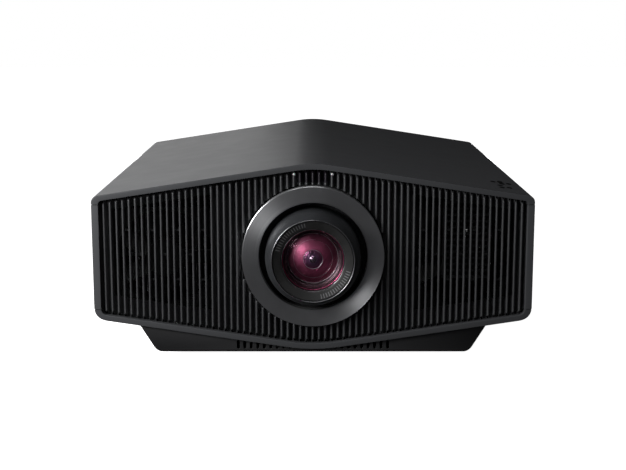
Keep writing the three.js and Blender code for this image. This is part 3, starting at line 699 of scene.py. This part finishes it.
def soft_light(name, place, target, size, power):
    """A white rectangular panel that faces the target."""
    data = bpy.data.lights.new(name, "AREA")
    data.shape = "RECTANGLE"
    data.size, data.size_y = size
    data.energy = power
    light = add_object(name, data)
    light.location = place
    light.rotation_euler = (Vector(target) - Vector(place)).to_track_quat("-Z", "Y").to_euler()
    light.visible_camera = False


def build_studio():
    """Six soft panels, a world that is white only to the camera, and a pale floor."""
    middle = (0, 0, 0.1)
    soft_light("panel_behind_left", (-1.5, 3.6, 0.75), (-0.2, 0.0, 0.2), (2.6, 1.3), 12)
    soft_light("panel_front_left", (-0.78, -0.66, 0.48), middle, (0.34, 0.34), 10.5)
    soft_light("panel_by_camera", (-0.62, -1.12, 0.42), middle, (0.26, 0.26), 2.2)
    soft_light("panel_above", (-0.15, -0.8, 1.3), middle, (0.7, 0.4), 2.6)
    soft_light("panel_low_behind", (0.0, 1.6, 0.06), (0.0, 0.27, 0.1), (0.9, 0.1), 4.5)
    soft_light("panel_low_right", (0.95, 0.4, 0.05), (0.23, 0.0, 0.1), (0.5, 0.07), 1.6)

    world = bpy.data.worlds.new("studio")
    world.use_nodes = True
    nodes, links = world.node_tree.nodes, world.node_tree.links
    ray = nodes.new("ShaderNodeLightPath")
    seen = nodes.new("ShaderNodeBackground")
    seen.inputs["Color"].default_value = (1, 1, 1, 1)
    around = nodes["Background"]
    around.inputs["Color"].default_value = (0.035, 0.035, 0.037, 1)
    blend = nodes.new("ShaderNodeMixShader")
    links.new(ray.outputs["Is Camera Ray"], blend.inputs[0])
    links.new(around.outputs[0], blend.inputs[1])
    links.new(seen.outputs[0], blend.inputs[2])
    links.new(blend.outputs[0], nodes["World Output"].inputs["Surface"])
    bpy.context.scene.world = world
    bpy.context.scene.view_settings.view_transform = "Standard"

    look = Look("floor")
    cloudy = look.between(look.noise(3, 2), grey(0.86), grey(0.9))
    look.to("Base Color", cloudy)
    look.socket("Roughness", 0.9)
    look.socket("Emission Color", (1, 1, 1, 1))
    look.socket("Emission Strength", 1.0)
    half = 6.0
    corners = [(-half, -half, 0), (half, -half, 0), (half, half, 0), (-half, half, 0)]
    mesh = bpy.data.meshes.new("floor")
    mesh.from_pydata(corners, [], [(0, 1, 2, 3)])
    floor = add_object("floor", mesh)
    floor.data.materials.append(look.material)
    floor.visible_diffuse = False
    floor.visible_glossy = False
    floor.visible_transmission = False


# ---- casing

KEY_RADIUS = 2.9
KEY_HOLE = 3.25
KEY_PROUD = 0.6
ROOF_ANGLE = math.atan(ROOF_SLOPE)
KEYS = ("key_up", "key_down", "key_left", "key_right", "key_enter", "key_menu", "key_input", "key_power")
BELLY_HALF = 168.0  # half width of the opening under the tub


def key_frame(node):
    """Where a key meets the roof's outer surface, as a matrix whose z axis stands square on the roof."""
    low, high = box_mm(node)
    # The key's box is centred half way along its leaning stem; slide back up the stem to the roof.
    middle = Vector(((low.x + high.x) / 2, (low.y + high.y) / 2, (low.z + high.z) / 2))
    normal = Vector((math.sin(ROOF_ANGLE), 0, math.cos(ROOF_ANGLE)))
    roof_point = Vector((0, middle.y, RIDGE))
    rise = (roof_point - middle).dot(normal)
    return Matrix.Translation(middle + normal * rise) @ Matrix.Rotation(ROOF_ANGLE, 4, "Y")


def moved(shape, matrix):
    """The shape itself, with its points carried through the matrix."""
    shape.points = [tuple(matrix @ Vector(p)) for p in shape.points]
    return shape


def casing_rings():
    """The casing's wall as a closed profile carried round the outline, bezel lip included."""
    def even(y, inset):
        return (y, (inset, inset, inset))

    def lip(y, back):
        return (y, tuple(width - back for width in LIP))

    round_in = EDGE * 0.3
    profile = [
        even(REAR - EDGE, 0), even(FRONT + EDGE, 0), even(FRONT + round_in, round_in), even(FRONT, EDGE),
        lip(FRONT, 0.8), lip(FRONT + 0.2, 0.2), lip(FRONT + 0.8, 0), lip(FRONT + LIP_DEPTH, 0),
        even(FRONT + LIP_DEPTH, WALL), even(REAR, WALL), even(REAR, EDGE), even(REAR - round_in, round_in),
    ]
    return [[(x, y, z) for x, z in section(*insets)] for y, insets in profile]


def slab(z0, z1, x0=-2 * HALF, x1=2 * HALF):
    """A layer of space that takes in the casing's whole depth."""
    return Shape().block((x0, x1), (FRONT - 50, REAR + 50), (z0, z1), edge=0)


def build_casing():
    """The top cover, two side panels and the bottom cover, cut from one shell at the seams."""
    shell = Shape().loft(casing_rings(), closed=True)
    half_seam = SEAM_WIDTH / 2
    key_holes = Shape()
    for node in KEYS:
        hole = moved(Shape().round_cutter(KEY_HOLE, -3 * WALL, 3 * WALL, (0, 0), 32), key_frame(node))
        key_holes.add(hole.points, hole.faces)
    top = carve("roof_shell", shell, [slab(SEAM_TOP + half_seam, 2 * RIDGE)], "INTERSECT")
    cut(top, [key_holes])
    dress(top, "chassis", "casing_plastic", ["top_cover"])
    for name, x0, x1 in (("side_left", -2 * HALF, 0), ("side_right", 0, 2 * HALF)):
        side = carve(name, shell, [slab(SEAM_LOW + half_seam, SEAM_TOP - half_seam, x0, x1)], "INTERSECT")
        node = "side_panel_left" if x0 < 0 else "side_panel_right"
        dress(side, "chassis", "casing_plastic", [node])
    low = carve("belly_shell", shell, [slab(-RIDGE, SEAM_LOW - half_seam)], "INTERSECT")
    cut(low, [Shape().block((-BELLY_HALF, BELLY_HALF), (FRONT + 16, REAR - 16), (0, SEAM_LOW), edge=6)])
    dress(low, "chassis", "casing_plastic", ["bottom_cover"])


def build_seam_tongues():
    """Strips behind the seams, where one cover laps inside the other."""
    shape = Shape()
    inner = HALF - WALL - GAP
    for side in (-1, 1):
        x = sorted((side * (inner - 1.6), side * inner))
        for z in (SEAM_TOP - 3.5, SEAM_LOW + 0.5):
            shape.block(x, (FRONT + LIP_DEPTH + 1, REAR - 8), (z - 4, z + 4), edge=0.3)
        lip = sorted((side * (HALF - 6.5), side * (HALF - 1.6)))
        for z in (SEAM_TOP, SEAM_LOW):
            shape.block(lip, (FRONT + 1.6, FRONT + LIP_DEPTH - 1), (z - 1.2, z + 1.2), edge=0.2)
    make("seam_tongues", shape, "chassis", "dark_plastic")


# ---- base tub

TUB_FRONT = FRONT + 3
TUB_REAR = REAR - 20
TUB_BOTTOM = 9.4
TUB_FLOOR = 2.2
TUB_TOP_HALF = 183.6
TUB_LOW_HALF = 165.0
TUB_LEAN = (TUB_TOP_HALF - TUB_LOW_HALF) / 30  # how far each side leans out per millimetre of height
TUB_CORNER = 6.0
SLOT_PITCH = 6.87
SLOT_FOOT = TUB_BOTTOM + 3.4
SLOT_HEIGHT = 9.0
SLOT_HALF = 1.5
SLOTS_EACH_SIDE = range(3, 12)  # counted from the middle, where there are none
PAD_HALF = 88.0  # the flat for a ceiling bracket
PAD_FRONT = -73.0
PAD_REAR = 113.0
PAD_FACE = TUB_BOTTOM - 1
PAD_CORNER = 6.0
INSERT_MARGIN = 13.0
INSERT_HOLE = 4.2
BASE_SCREW_X = 148.0
FOOT_PLACES = {"left": -135.0, "right": 135.0}
FOOT_HOLE = 4.6
FRONT_FOOT_Y = FRONT + 70
REAR_FOOT_Y = REAR - 70


def tub_section(inset, low, top):
    """The tub's (x, z) outline between two heights, moved in from its outer sides."""
    def half(z):
        return TUB_LOW_HALF - inset + TUB_LEAN * (z - TUB_BOTTOM)

    right = [
        (half(top), top),
        *curve((half(low + TUB_CORNER), low + TUB_CORNER), (half(low), low),
               (half(low) - TUB_CORNER, low), 8),
        (half(low) - TUB_CORNER, low),
    ]
    return right + [(-x, z) for x, z in reversed(right)]


def build_tub():
    """The base below the belly, with its row of slots in front and a hole for each foot screw."""
    edge = 1.6
    stations = ((TUB_FRONT, edge), (TUB_FRONT + edge * 0.35, edge * 0.35), (TUB_FRONT + edge, 0),
                (TUB_REAR - edge, 0), (TUB_REAR, edge))
    tub = Shape().loft([[(x, y, z) for x, z in tub_section(inset, TUB_BOTTOM + inset, 45)]
                        for y, inset in stations])
    body = Shape().prism(section(-GAP), FRONT - 5, REAR + 5)
    floor = TUB_BOTTOM + TUB_FLOOR
    hollow = Shape().prism(tub_section(WALL, floor, 60), TUB_FRONT + WALL, TUB_REAR - WALL)
    slots = Shape()
    for k in SLOTS_EACH_SIDE:
        for side in (-1, 1):
            x = side * (k + 0.5) * SLOT_PITCH
            slots.block((x - SLOT_HALF, x + SLOT_HALF), (TUB_FRONT - 3, TUB_FRONT + WALL + 3),
                        (SLOT_FOOT, SLOT_FOOT + SLOT_HEIGHT), edge=0.9)
    holes = Shape()
    for x in FOOT_PLACES.values():
        holes.round_cutter(FOOT_HOLE, 0, 20, (x, FRONT_FOOT_Y), 24)
    thing = carve("tub", tub, [body, hollow, slots, holes])
    soften(thing, 50)
    apply_modifiers(thing)
    dress(thing, "chassis", "dark_plastic", ["base_tub"])


def build_mount_pad():
    """Raised flat under the base with four threaded inserts for a ceiling bracket, and screws round it."""
    z = PAD_FACE

    def ring(inset, height):
        points = []
        right, rear, front = PAD_HALF - PAD_CORNER, PAD_REAR - PAD_CORNER, PAD_FRONT + PAD_CORNER
        corners = ((right, rear, 0), (-right, rear, 90), (-right, front, 180), (right, front, 270))
        for cx, cy, start in corners:
            for k in range(7):
                a = math.radians(start + 15 * k)
                reach = PAD_CORNER - inset
                points.append((cx + reach * math.cos(a), cy + reach * math.sin(a), height))
        return points

    pad = Shape().loft([ring(0.5, z), ring(0.15, z + 0.15), ring(0, z + 0.5), ring(0, TUB_BOTTOM + 0.4)])
    holes = Shape()
    places = [(side * (PAD_HALF - INSERT_MARGIN), y)
              for side in (-1, 1) for y in (PAD_FRONT + INSERT_MARGIN, PAD_REAR - INSERT_MARGIN)]
    for place in places:
        holes.round_cutter(INSERT_HOLE, z - 2, TUB_BOTTOM + 3, place, 32)
    thing = carve("mount_pad", pad, [holes])
    dress(thing, "chassis", "dark_plastic")

    inserts = Shape()
    for px, py in places:
        tread = [(4.1, z + 0.3), (4.1, TUB_BOTTOM + 2), (2.5, TUB_BOTTOM + 2)]
        tread += [(2.5 + 0.35 * (k % 2), TUB_BOTTOM + 1.6 - 0.4 * k) for k in range(1, 6)]
        tread += [(2.7, z + 0.5), (2.9, z + 0.3)]
        inserts.turned(tread, (px, py, 0), 32, "z")
    make("bracket_inserts", inserts, "chassis", "steel")

    screws = Shape()
    for side in (-1, 1):
        for py in (FRONT + 30, -20, REAR - 34):
            screw_head(screws, (side * BASE_SCREW_X, py, TUB_BOTTOM - 0.02), 3.6)
    make("base_screws", screws, "chassis", "steel")


def screw_head(shape, place, radius):
    """A domed screw head that faces down, with a raised cross in its recess."""
    head = Shape()
    recess = radius * 0.45
    dome = [(0, 0.12 * radius), (recess, 0.1 * radius), (recess + 0.15, 0.42 * radius),
            (radius * 0.8, 0.36 * radius), (radius, 0.08 * radius), (radius, -0.5), (0, -0.5)]
    head.turned(dome, (0, 0, 0), 28, "z")
    for angle in (20, 110):
        arm = Shape().block((-recess, recess), (-0.35, 0.35), (0.05 * radius, 0.22 * radius), edge=0.1)
        moved(arm, Matrix.Rotation(math.radians(angle), 4, "Z"))
        head.add(arm.points, arm.faces)
    face_down = Vector((0, 0, 1)).rotation_difference(Vector((0, 0, -1))).to_matrix().to_4x4()
    moved(head, Matrix.Translation(Vector(place)) @ face_down)
    shape.add(head.points, head.faces)


# ---- ribbed front

RIB_INSETS = tuple(width + GAP + RIB_END_GAP for width in LIP)
FLUTE_INSETS = tuple(width + GAP for width in LIP)
RIB_BACK = BACKING_FRONT + 0.6
RIB_ROLL = 3.4  # length of a rib's end that rolls back
LIGHT_PIPE_RIB = 3  # the ribs, counted from the middle, that end below the light pipes
TIE_COLUMNS = (17, 31, 4)  # first gap, end and step of the ties, counted from the middle
SCREEN_HOLE_HALF = 2.2
SCREEN_FIRST_COLUMN = 21.5  # in rib pitches from the middle
SCREEN_FIRST_ROW = 92.0
SCREEN_COLUMNS = 7
SCREEN_ROWS = 12


def lens_hole_reach(x):
    """Half the height of the lens hole at a given x."""
    return math.sqrt(max(LENS_HOLE ** 2 - x * x, 0))


def rib(shape, x, z0, z1, slope_low=True, slope_high=True):
    """One rounded bar from z0 to z1; a sloped end rolls back into the grille."""
    depth = RIB_BACK - RIB_FRONT
    half = RIB_WIDTH / 2
    stations = []
    for end, sloped, sign in ((z0, slope_low, 1), (z1, slope_high, -1)):
        if sloped:
            near = [(end + sign * RIB_ROLL * t, depth * (1 - math.sin(math.pi / 2 * t) ** 0.9) * 0.92)
                    for t in (0, 0.15, 0.35, 0.6, 0.8, 1)]
        else:
            near = [(end, 0.5), (end + sign * 0.3, 0.15), (end + sign * 0.8, 0)]
        stations += near if sign > 0 else list(reversed(near))
    rings = []
    for z, back in stations:
        front = RIB_FRONT + back
        nose = min(half, (RIB_BACK - front) * 0.9)
        ring = [(x - half - 0.12, RIB_BACK, z)]
        for k in range(7):
            a = math.pi * k / 6
            ring.append((x - half * math.cos(a), front + nose * (1 - math.sin(a)) * 0.85, z))
        ring.append((x + half + 0.12, RIB_BACK, z))
        rings.append(ring)
    shape.loft(rings)


def flute(shape, x0, x1, low, high):
    """The hollow channel between two ribs; low and high give its ends for any x."""
    steps = 8
    front, back = [], []
    for i in range(steps + 1):
        t = i / steps
        x = x0 + (x1 - x0) * t
        y = FLUTE_EDGE + FLUTE_DEPTH * (1 - (2 * t - 1) ** 2)
        front.append((x, y))
        back.append((x, BACKING_BACK))
    outline = front + list(reversed(back))
    shape.loft([[(x, y, end(x)) for x, y in outline] for end in (low, high)])


def edge_low(x):
    return heights_at(x, FLUTE_INSETS)[0]


def edge_high(x):
    return heights_at(x, FLUTE_INSETS)[1]


def hole_low(x):
    return LENS_Z - lens_hole_reach(x)


def hole_high(x):
    return LENS_Z + lens_hole_reach(x)


def vent_low(x):
    return KEEL + KEEL_SLOPE * abs(x) + VENT_ABOVE_KEEL


def vent_high(x):
    return RIDGE - ROOF_SLOPE * abs(x) - VENT_BELOW_ROOF


def build_grille():
    """Ribs, the channels between them, ties and vent rails; the receiver window continues the ribs."""
    grille, window = Shape(), Shape()
    window_ribs = int(WINDOW_HALF / RIB_PITCH)
    pipe_low = box_mm("status_light_pipe")[0].z
    for k in range(-RIBS_EACH_SIDE, RIBS_EACH_SIDE + 1):
        x = k * RIB_PITCH
        low, high = heights_at(x, RIB_INSETS)
        inner = abs(x) - RIB_WIDTH / 2
        reach = lens_hole_reach(inner)
        if not reach:
            rib(grille, x, low, high)
            continue
        rib(grille, x, low, LENS_Z - reach, slope_high=False)
        start = LENS_Z + reach
        if abs(k) <= window_ribs:
            if WINDOW_LOW - GAP > start + 1:
                rib(grille, x, start, WINDOW_LOW - GAP, slope_low=False, slope_high=False)
            rib(window, x, max(WINDOW_LOW, start), high, slope_low=False)
        elif abs(k) == LIGHT_PIPE_RIB:
            rib(grille, x, start, pipe_low - GAP, slope_low=False, slope_high=False)
        else:
            rib(grille, x, start, high, slope_low=False)

    half = RIB_WIDTH / 2
    outermost = HALF - FLUTE_INSETS[1] - 0.2
    for k in range(RIBS_EACH_SIDE + 1):
        near, far = k * RIB_PITCH + half, (k + 1) * RIB_PITCH - half
        far = min(far, outermost)
        for side in (-1, 1):
            x0, x1 = sorted((side * near, side * far))
            if near >= VENT_INNER - half and far <= VENT_OUTER + half:
                flute(grille, x0, x1, edge_low, vent_low)
                flute(grille, x0, x1, vent_high, edge_high)
            elif near < LENS_HOLE:
                flute(grille, x0, x1, edge_low, hole_low)
                if far <= WINDOW_HALF:
                    flute(grille, x0, x1, hole_high, lambda x: WINDOW_LOW - GAP)
                    flute(window, x0, x1, lambda x: WINDOW_LOW, edge_high)
                else:
                    flute(grille, x0, x1, hole_high, edge_high)
            else:
                flute(grille, x0, x1, edge_low, edge_high)
    for side in (-1, 1):
        for row, z in enumerate(TIE_HEIGHTS):
            first, end, step = TIE_COLUMNS
            for k in range(first + 2 * (row % 2), end, step):
                x = side * (k + 0.5) * RIB_PITCH
                grille.block((x - 3, x + 3), (BACKING_FRONT - 0.4, BACKING_BACK), (z - 1, z + 1), edge=0.3)
        # An upright rail at each side of a vent ties its ends to the grille.
        for x in (side * VENT_INNER, side * (VENT_OUTER + 1)):
            grille.block((x - 1.6, x + 1.6), (BACKING_BACK - 1, BACKING_BACK + 1.5),
                         (vent_low(x) - 2, vent_high(x) + 2), edge=0.4)
    make("ribbed_front", grille, "chassis", "rib_plastic", ["front_grille"])
    make("window", window, "chassis", "smoked_plastic", ["receiver_window"])


def build_light_pipes():
    """Two domed light pipes, each in a collar that is part of the grille."""
    for node in LIGHT_PIPES:
        low, high = box_mm(node)
        middle = ((low.x + high.x) / 2, 0, (low.z + high.z) / 2)
        radius = (high.x - low.x) / 2
        dome = [(0, low.y), (radius * 0.5, low.y + 0.1), (radius * 0.87, low.y + 0.45), (radius, low.y + 1.1),
                (radius, high.y), (0, high.y)]
        shape = Shape().turned(dome, middle, 28)
        make(node + "_dome", shape, "chassis", "light_pipe", [node])
        collar = [(radius + 0.1, RIB_FRONT + 0.1), (radius + 0.5, RIB_FRONT), (radius + 0.7, RIB_FRONT + 0.6),
                  (radius + 0.7, BACKING_FRONT + 1), (radius + 0.1, BACKING_FRONT + 1)]
        shape = Shape().turned(collar, middle, 28)
        make(node + "_collar", shape, "chassis", "rib_plastic")


def build_vent_screen():
    """Perforated plate behind the right vent."""
    low, high = box_mm("vent_screen")
    plate = Shape().block((low.x, high.x), (low.y, high.y), (low.z, high.z), edge=0.2)
    holes = Shape()
    half = SCREEN_HOLE_HALF
    for column in range(SCREEN_COLUMNS):
        for row in range(SCREEN_ROWS):
            x = (SCREEN_FIRST_COLUMN + column) * RIB_PITCH
            z = SCREEN_FIRST_ROW + row * RIB_PITCH
            if low.z + 3 < z < high.z - 2:
                holes.block((x - half, x + half), (low.y - 3, high.y + 3), (z - half, z + half), edge=0.7)
    thing = carve("perforated_screen", plate, [holes])
    dress(thing, "chassis", "dark_plastic", ["vent_screen"], "casing_plastic")


# ---- lens

LENS_FRONT = (0, FRONT, LENS_Z)
ROUND = 160  # steps round the rings and the barrel
GLASS_ROUND = 128


def turn(name, profile, slot, nodes=(), look=None, body="lens", steps=ROUND, sharp=30):
    """A piece turned about the lens axis, with distances from the casing's front."""
    return make(name, Shape().turned(profile, LENS_FRONT, steps), body, slot, nodes, look, sharp)


def build_lens():
    """The bright ring and its shroud in the front, and the barrel with its glass, which moves."""
    ring = [(56.6, 2.6), (57.0, 1.9), (57.8, 1.45), (72.9, -0.75), (73.8, -0.95), (74.3, -0.6), (74.4, 0.2),
            (74.4, 9), (72.4, 9), (72.4, 4), (58.6, 5), (58.6, 9), (56.6, 9)]
    turn("front_ring", ring, "spun_metal", ["lens_ring"], body="chassis")

    shroud = [(57.0, 9.3), (60.0, 9.3), (60.0, 12.4), (80, 12.4), (80, 14.4), (60.0, 14.4), (60.0, 26.5),
              (57.0, 26.5)]
    shroud += [(57.0 + 0.5 * (k % 2), 25.5 - 1.2 * k) for k in range(13)]
    turn("ring_shroud", shroud, "dark_plastic", ["lens_shroud"], body="chassis", steps=96)

    flare = curve((43.3, NOSE_FRONT + 0.5), (49.6, NOSE_FRONT + 9), (50, -4), 14)
    barrel = [(42.9, NOSE_FRONT + 0.35), *flare, (50, -4), (50, 27), (68, 27), (68, 29.5), (38, 29.5),
              (38, 150), (35, 150), (35, -6), (42, -6), (42, NOSE_FRONT + 0.6)]
    turn("barrel", barrel, "lens_metal", ["lens_barrel"], sharp=28)
    rim_ring("nose_rim", 42.7, NOSE_FRONT + 0.46, 0.46)

    band = [(32.5, -19.0), (33.0, -19.9), (33.8, -20.5), (41.2, -22.75), (41.7, -22.3), (41.7, -6.3),
            (35, -6.3), (32.5, -9)]
    turn("name_band", band, "lens_metal", ["lens_front_ring"], "name_band", sharp=28)
    rim_ring("glass_rim", 32.55, -19.35, 0.28)
    rim_ring("glass_edge", 31.6, -14.6, 0.42, "edge_coating")

    front = dish(32.2, -14, -7.5, -2, 5)
    glass = turn("front_element", front, "coated_glass", ["front_glass"], "front_glass", steps=GLASS_ROUND)
    glass.visible_shadow = False

    # Behind it: a coated bevel round the cell, the domed second element, a small third one and its tip.
    bevel = [(31.6, -13.4), (29.9, -9.4), (28.6, -7.4), (27.9, -7.0), (27.4, -7.4), (26.9, -7.0), (26.7, -1),
             (34.6, 3.6), (34.6, -6.2), (32.0, -11.2)]
    turn("lens_cell", bevel, "lens_metal", look="bevel_coating", steps=GLASS_ROUND)
    elements = (("inner_element", 26.4, -3.2, -7.8, 20, 5, "pink_coating", ["second_glass"]),
                ("small_element", 9.7, -10.4, -1.6, -8.6, 0, "violet_coating", []),
                ("element_tip", 3.6, -11.7, -1.3, -10.6, 0, "tip_coating", []))
    for name, radius, edge, rise, back, back_rise, look, nodes in elements:
        profile = dish(radius, edge, rise, back, back_rise)
        turn(name, profile, "coated_glass", nodes, look, steps=GLASS_ROUND)
    for name, radius, place, bead in (("cell_ring_outer", 25.6, -3.9, 0.36),
                                      ("cell_ring_middle", 19.6, -6.6, 0.16),
                                      ("small_element_ring", 9.75, -10.35, 0.26)):
        rim_ring(name, radius, place, bead)


def rim_ring(name, radius, place, bead, look="rim_metal"):
    """A fine bright ring on the lens: a round bead, which catches the light as a thin line."""
    profile = [(radius + bead * math.cos(a), place + bead * math.sin(a))
               for a in (math.pi * k / 6 for k in range(12))]
    turn(name, profile, "spun_metal", look=look, sharp=SHARP)


def dish(radius, front_edge, front_rise, rear_edge, rear_rise):
    """A lens element's profile: two curved faces, given by their edge and the rise at their middle."""
    steps = 32
    front = [(radius * i / steps, front_edge + front_rise * (1 - (i / steps) ** 2)) for i in range(steps + 1)]
    rear = [(radius * i / steps, rear_edge + rear_rise * (1 - (i / steps) ** 2)) for i in range(steps + 1)]
    return front + list(reversed(rear))


# ---- keys, feet


def build_keys():
    """Round key caps, dished in the middle, with a collar that holds them under the roof."""
    cap = [(0, KEY_PROUD - 0.22), (KEY_RADIUS * 0.5, KEY_PROUD - 0.16), (KEY_RADIUS * 0.8, KEY_PROUD - 0.03),
           (KEY_RADIUS - 0.25, KEY_PROUD), (KEY_RADIUS - 0.06, KEY_PROUD - 0.1),
           (KEY_RADIUS, KEY_PROUD - 0.35), (KEY_RADIUS, -WALL - GAP), (KEY_RADIUS + 1, -WALL - GAP),
           (KEY_RADIUS + 1, -WALL - GAP - 1), (0, -WALL - GAP - 1)]
    for node in KEYS:
        shape = moved(Shape().turned(cap, (0, 0, 0), 40, "z"), key_frame(node))
        make(node + "_cap", shape, node, "key_plastic", [node])


def build_feet():
    """Two front feet, each a rubber pad on a screw, and two fixed rear feet with the same grooved sole."""
    sole = [(0, 0), (13.2, 0), (13.4, 0.4), (14.0, 0.4), (14.2, 0), (15.2, 0), (15.8, 0.3), (16, 1)]
    pad = sole + [(16, 1.6), (15.7, 1.8), (15.7, 2.2), (16, 2.4), (16, 3.3), (15.6, 3.7), (12.4, 4.9),
                  (11.6, 5), (0, 5)]
    fixed = sole + [(16, 8.6), (15.6, TUB_BOTTOM - GAP), (0, TUB_BOTTOM - GAP)]
    stem = [(0, 5.3), (7.7, 5.3), (8, 5.6), (8, 8.6), (7.7, 9), (3.4, 9), (3.4, 9.6)]
    stem += [(3.95 if k % 2 else 3.4, 9.6 + 0.5 * k) for k in range(1, 48)]
    stem += [(3.2, 34), (0, 34)]
    for side, x in FOOT_PLACES.items():
        front = (x, FRONT_FOOT_Y, 0)
        rear = (x, REAR_FOOT_Y, 0)
        make(f"foot_pad_{side}", Shape().turned(pad, front, 64, "z"), f"foot_{side}", "foot_rubber",
             [f"front_foot_pad_{side}"], sharp=30)
        make(f"foot_screw_{side}", Shape().turned(stem, front, 40, "z"), f"foot_screw_{side}", "steel",
             [f"front_foot_screw_{side}"], sharp=30)
        make(f"fixed_foot_{side}", Shape().turned(fixed, rear, 64, "z"), "chassis", "foot_rubber",
             [f"rear_foot_{side}"], sharp=30)


# ---- pieces carried over from the part

# The finish of each CAD node that is shown as it is.
CARRIED = {
    "casing_plastic": ["rear_panel"],
    "dark_plastic": ["terminal_plate", "mains_inlet", "fan_frame_left", "fan_frame_right", "fan_rotor_left",
                     "fan_rotor_right"],
    "filter_foam": ["intake_filter"],
    "circuit_board": ["receiver_board", "key_board", "power_supply", "main_board"],
    "cast_aluminium": ["shift_frame", "shift_stage", "lens_flange", "optical_block", "heat_sink",
                       "laser_module"],
    "gear_plastic": ["focus_ring", "zoom_ring", "focus_pinion", "zoom_pinion"],
    "steel": ["focus_motor", "zoom_motor", "shift_motor_vertical", "shift_motor_horizontal",
              "shift_screw_vertical", "shift_screw_horizontal"],
    "copper": ["heat_pipes"],
    "phosphor_disc": ["phosphor_wheel"],
}


def dress_carried():
    """Gives the CAD's own pieces their finish and soft edges."""
    for look, nodes in CARRIED.items():
        for node in nodes:
            thing = NODES[node]
            thing.data.materials.clear()
            thing.data.materials.append(LOOKS[look])
            weld = thing.modifiers.new("weld", "WELD")
            weld.merge_threshold = 0.01 * MM
            soften(thing, 42)


build_camera()
build_studio()
build_casing()
build_seam_tongues()
build_tub()
build_mount_pad()
build_grille()
build_light_pipes()
build_vent_screen()
build_lens()
build_keys()
build_feet()
dress_carried()
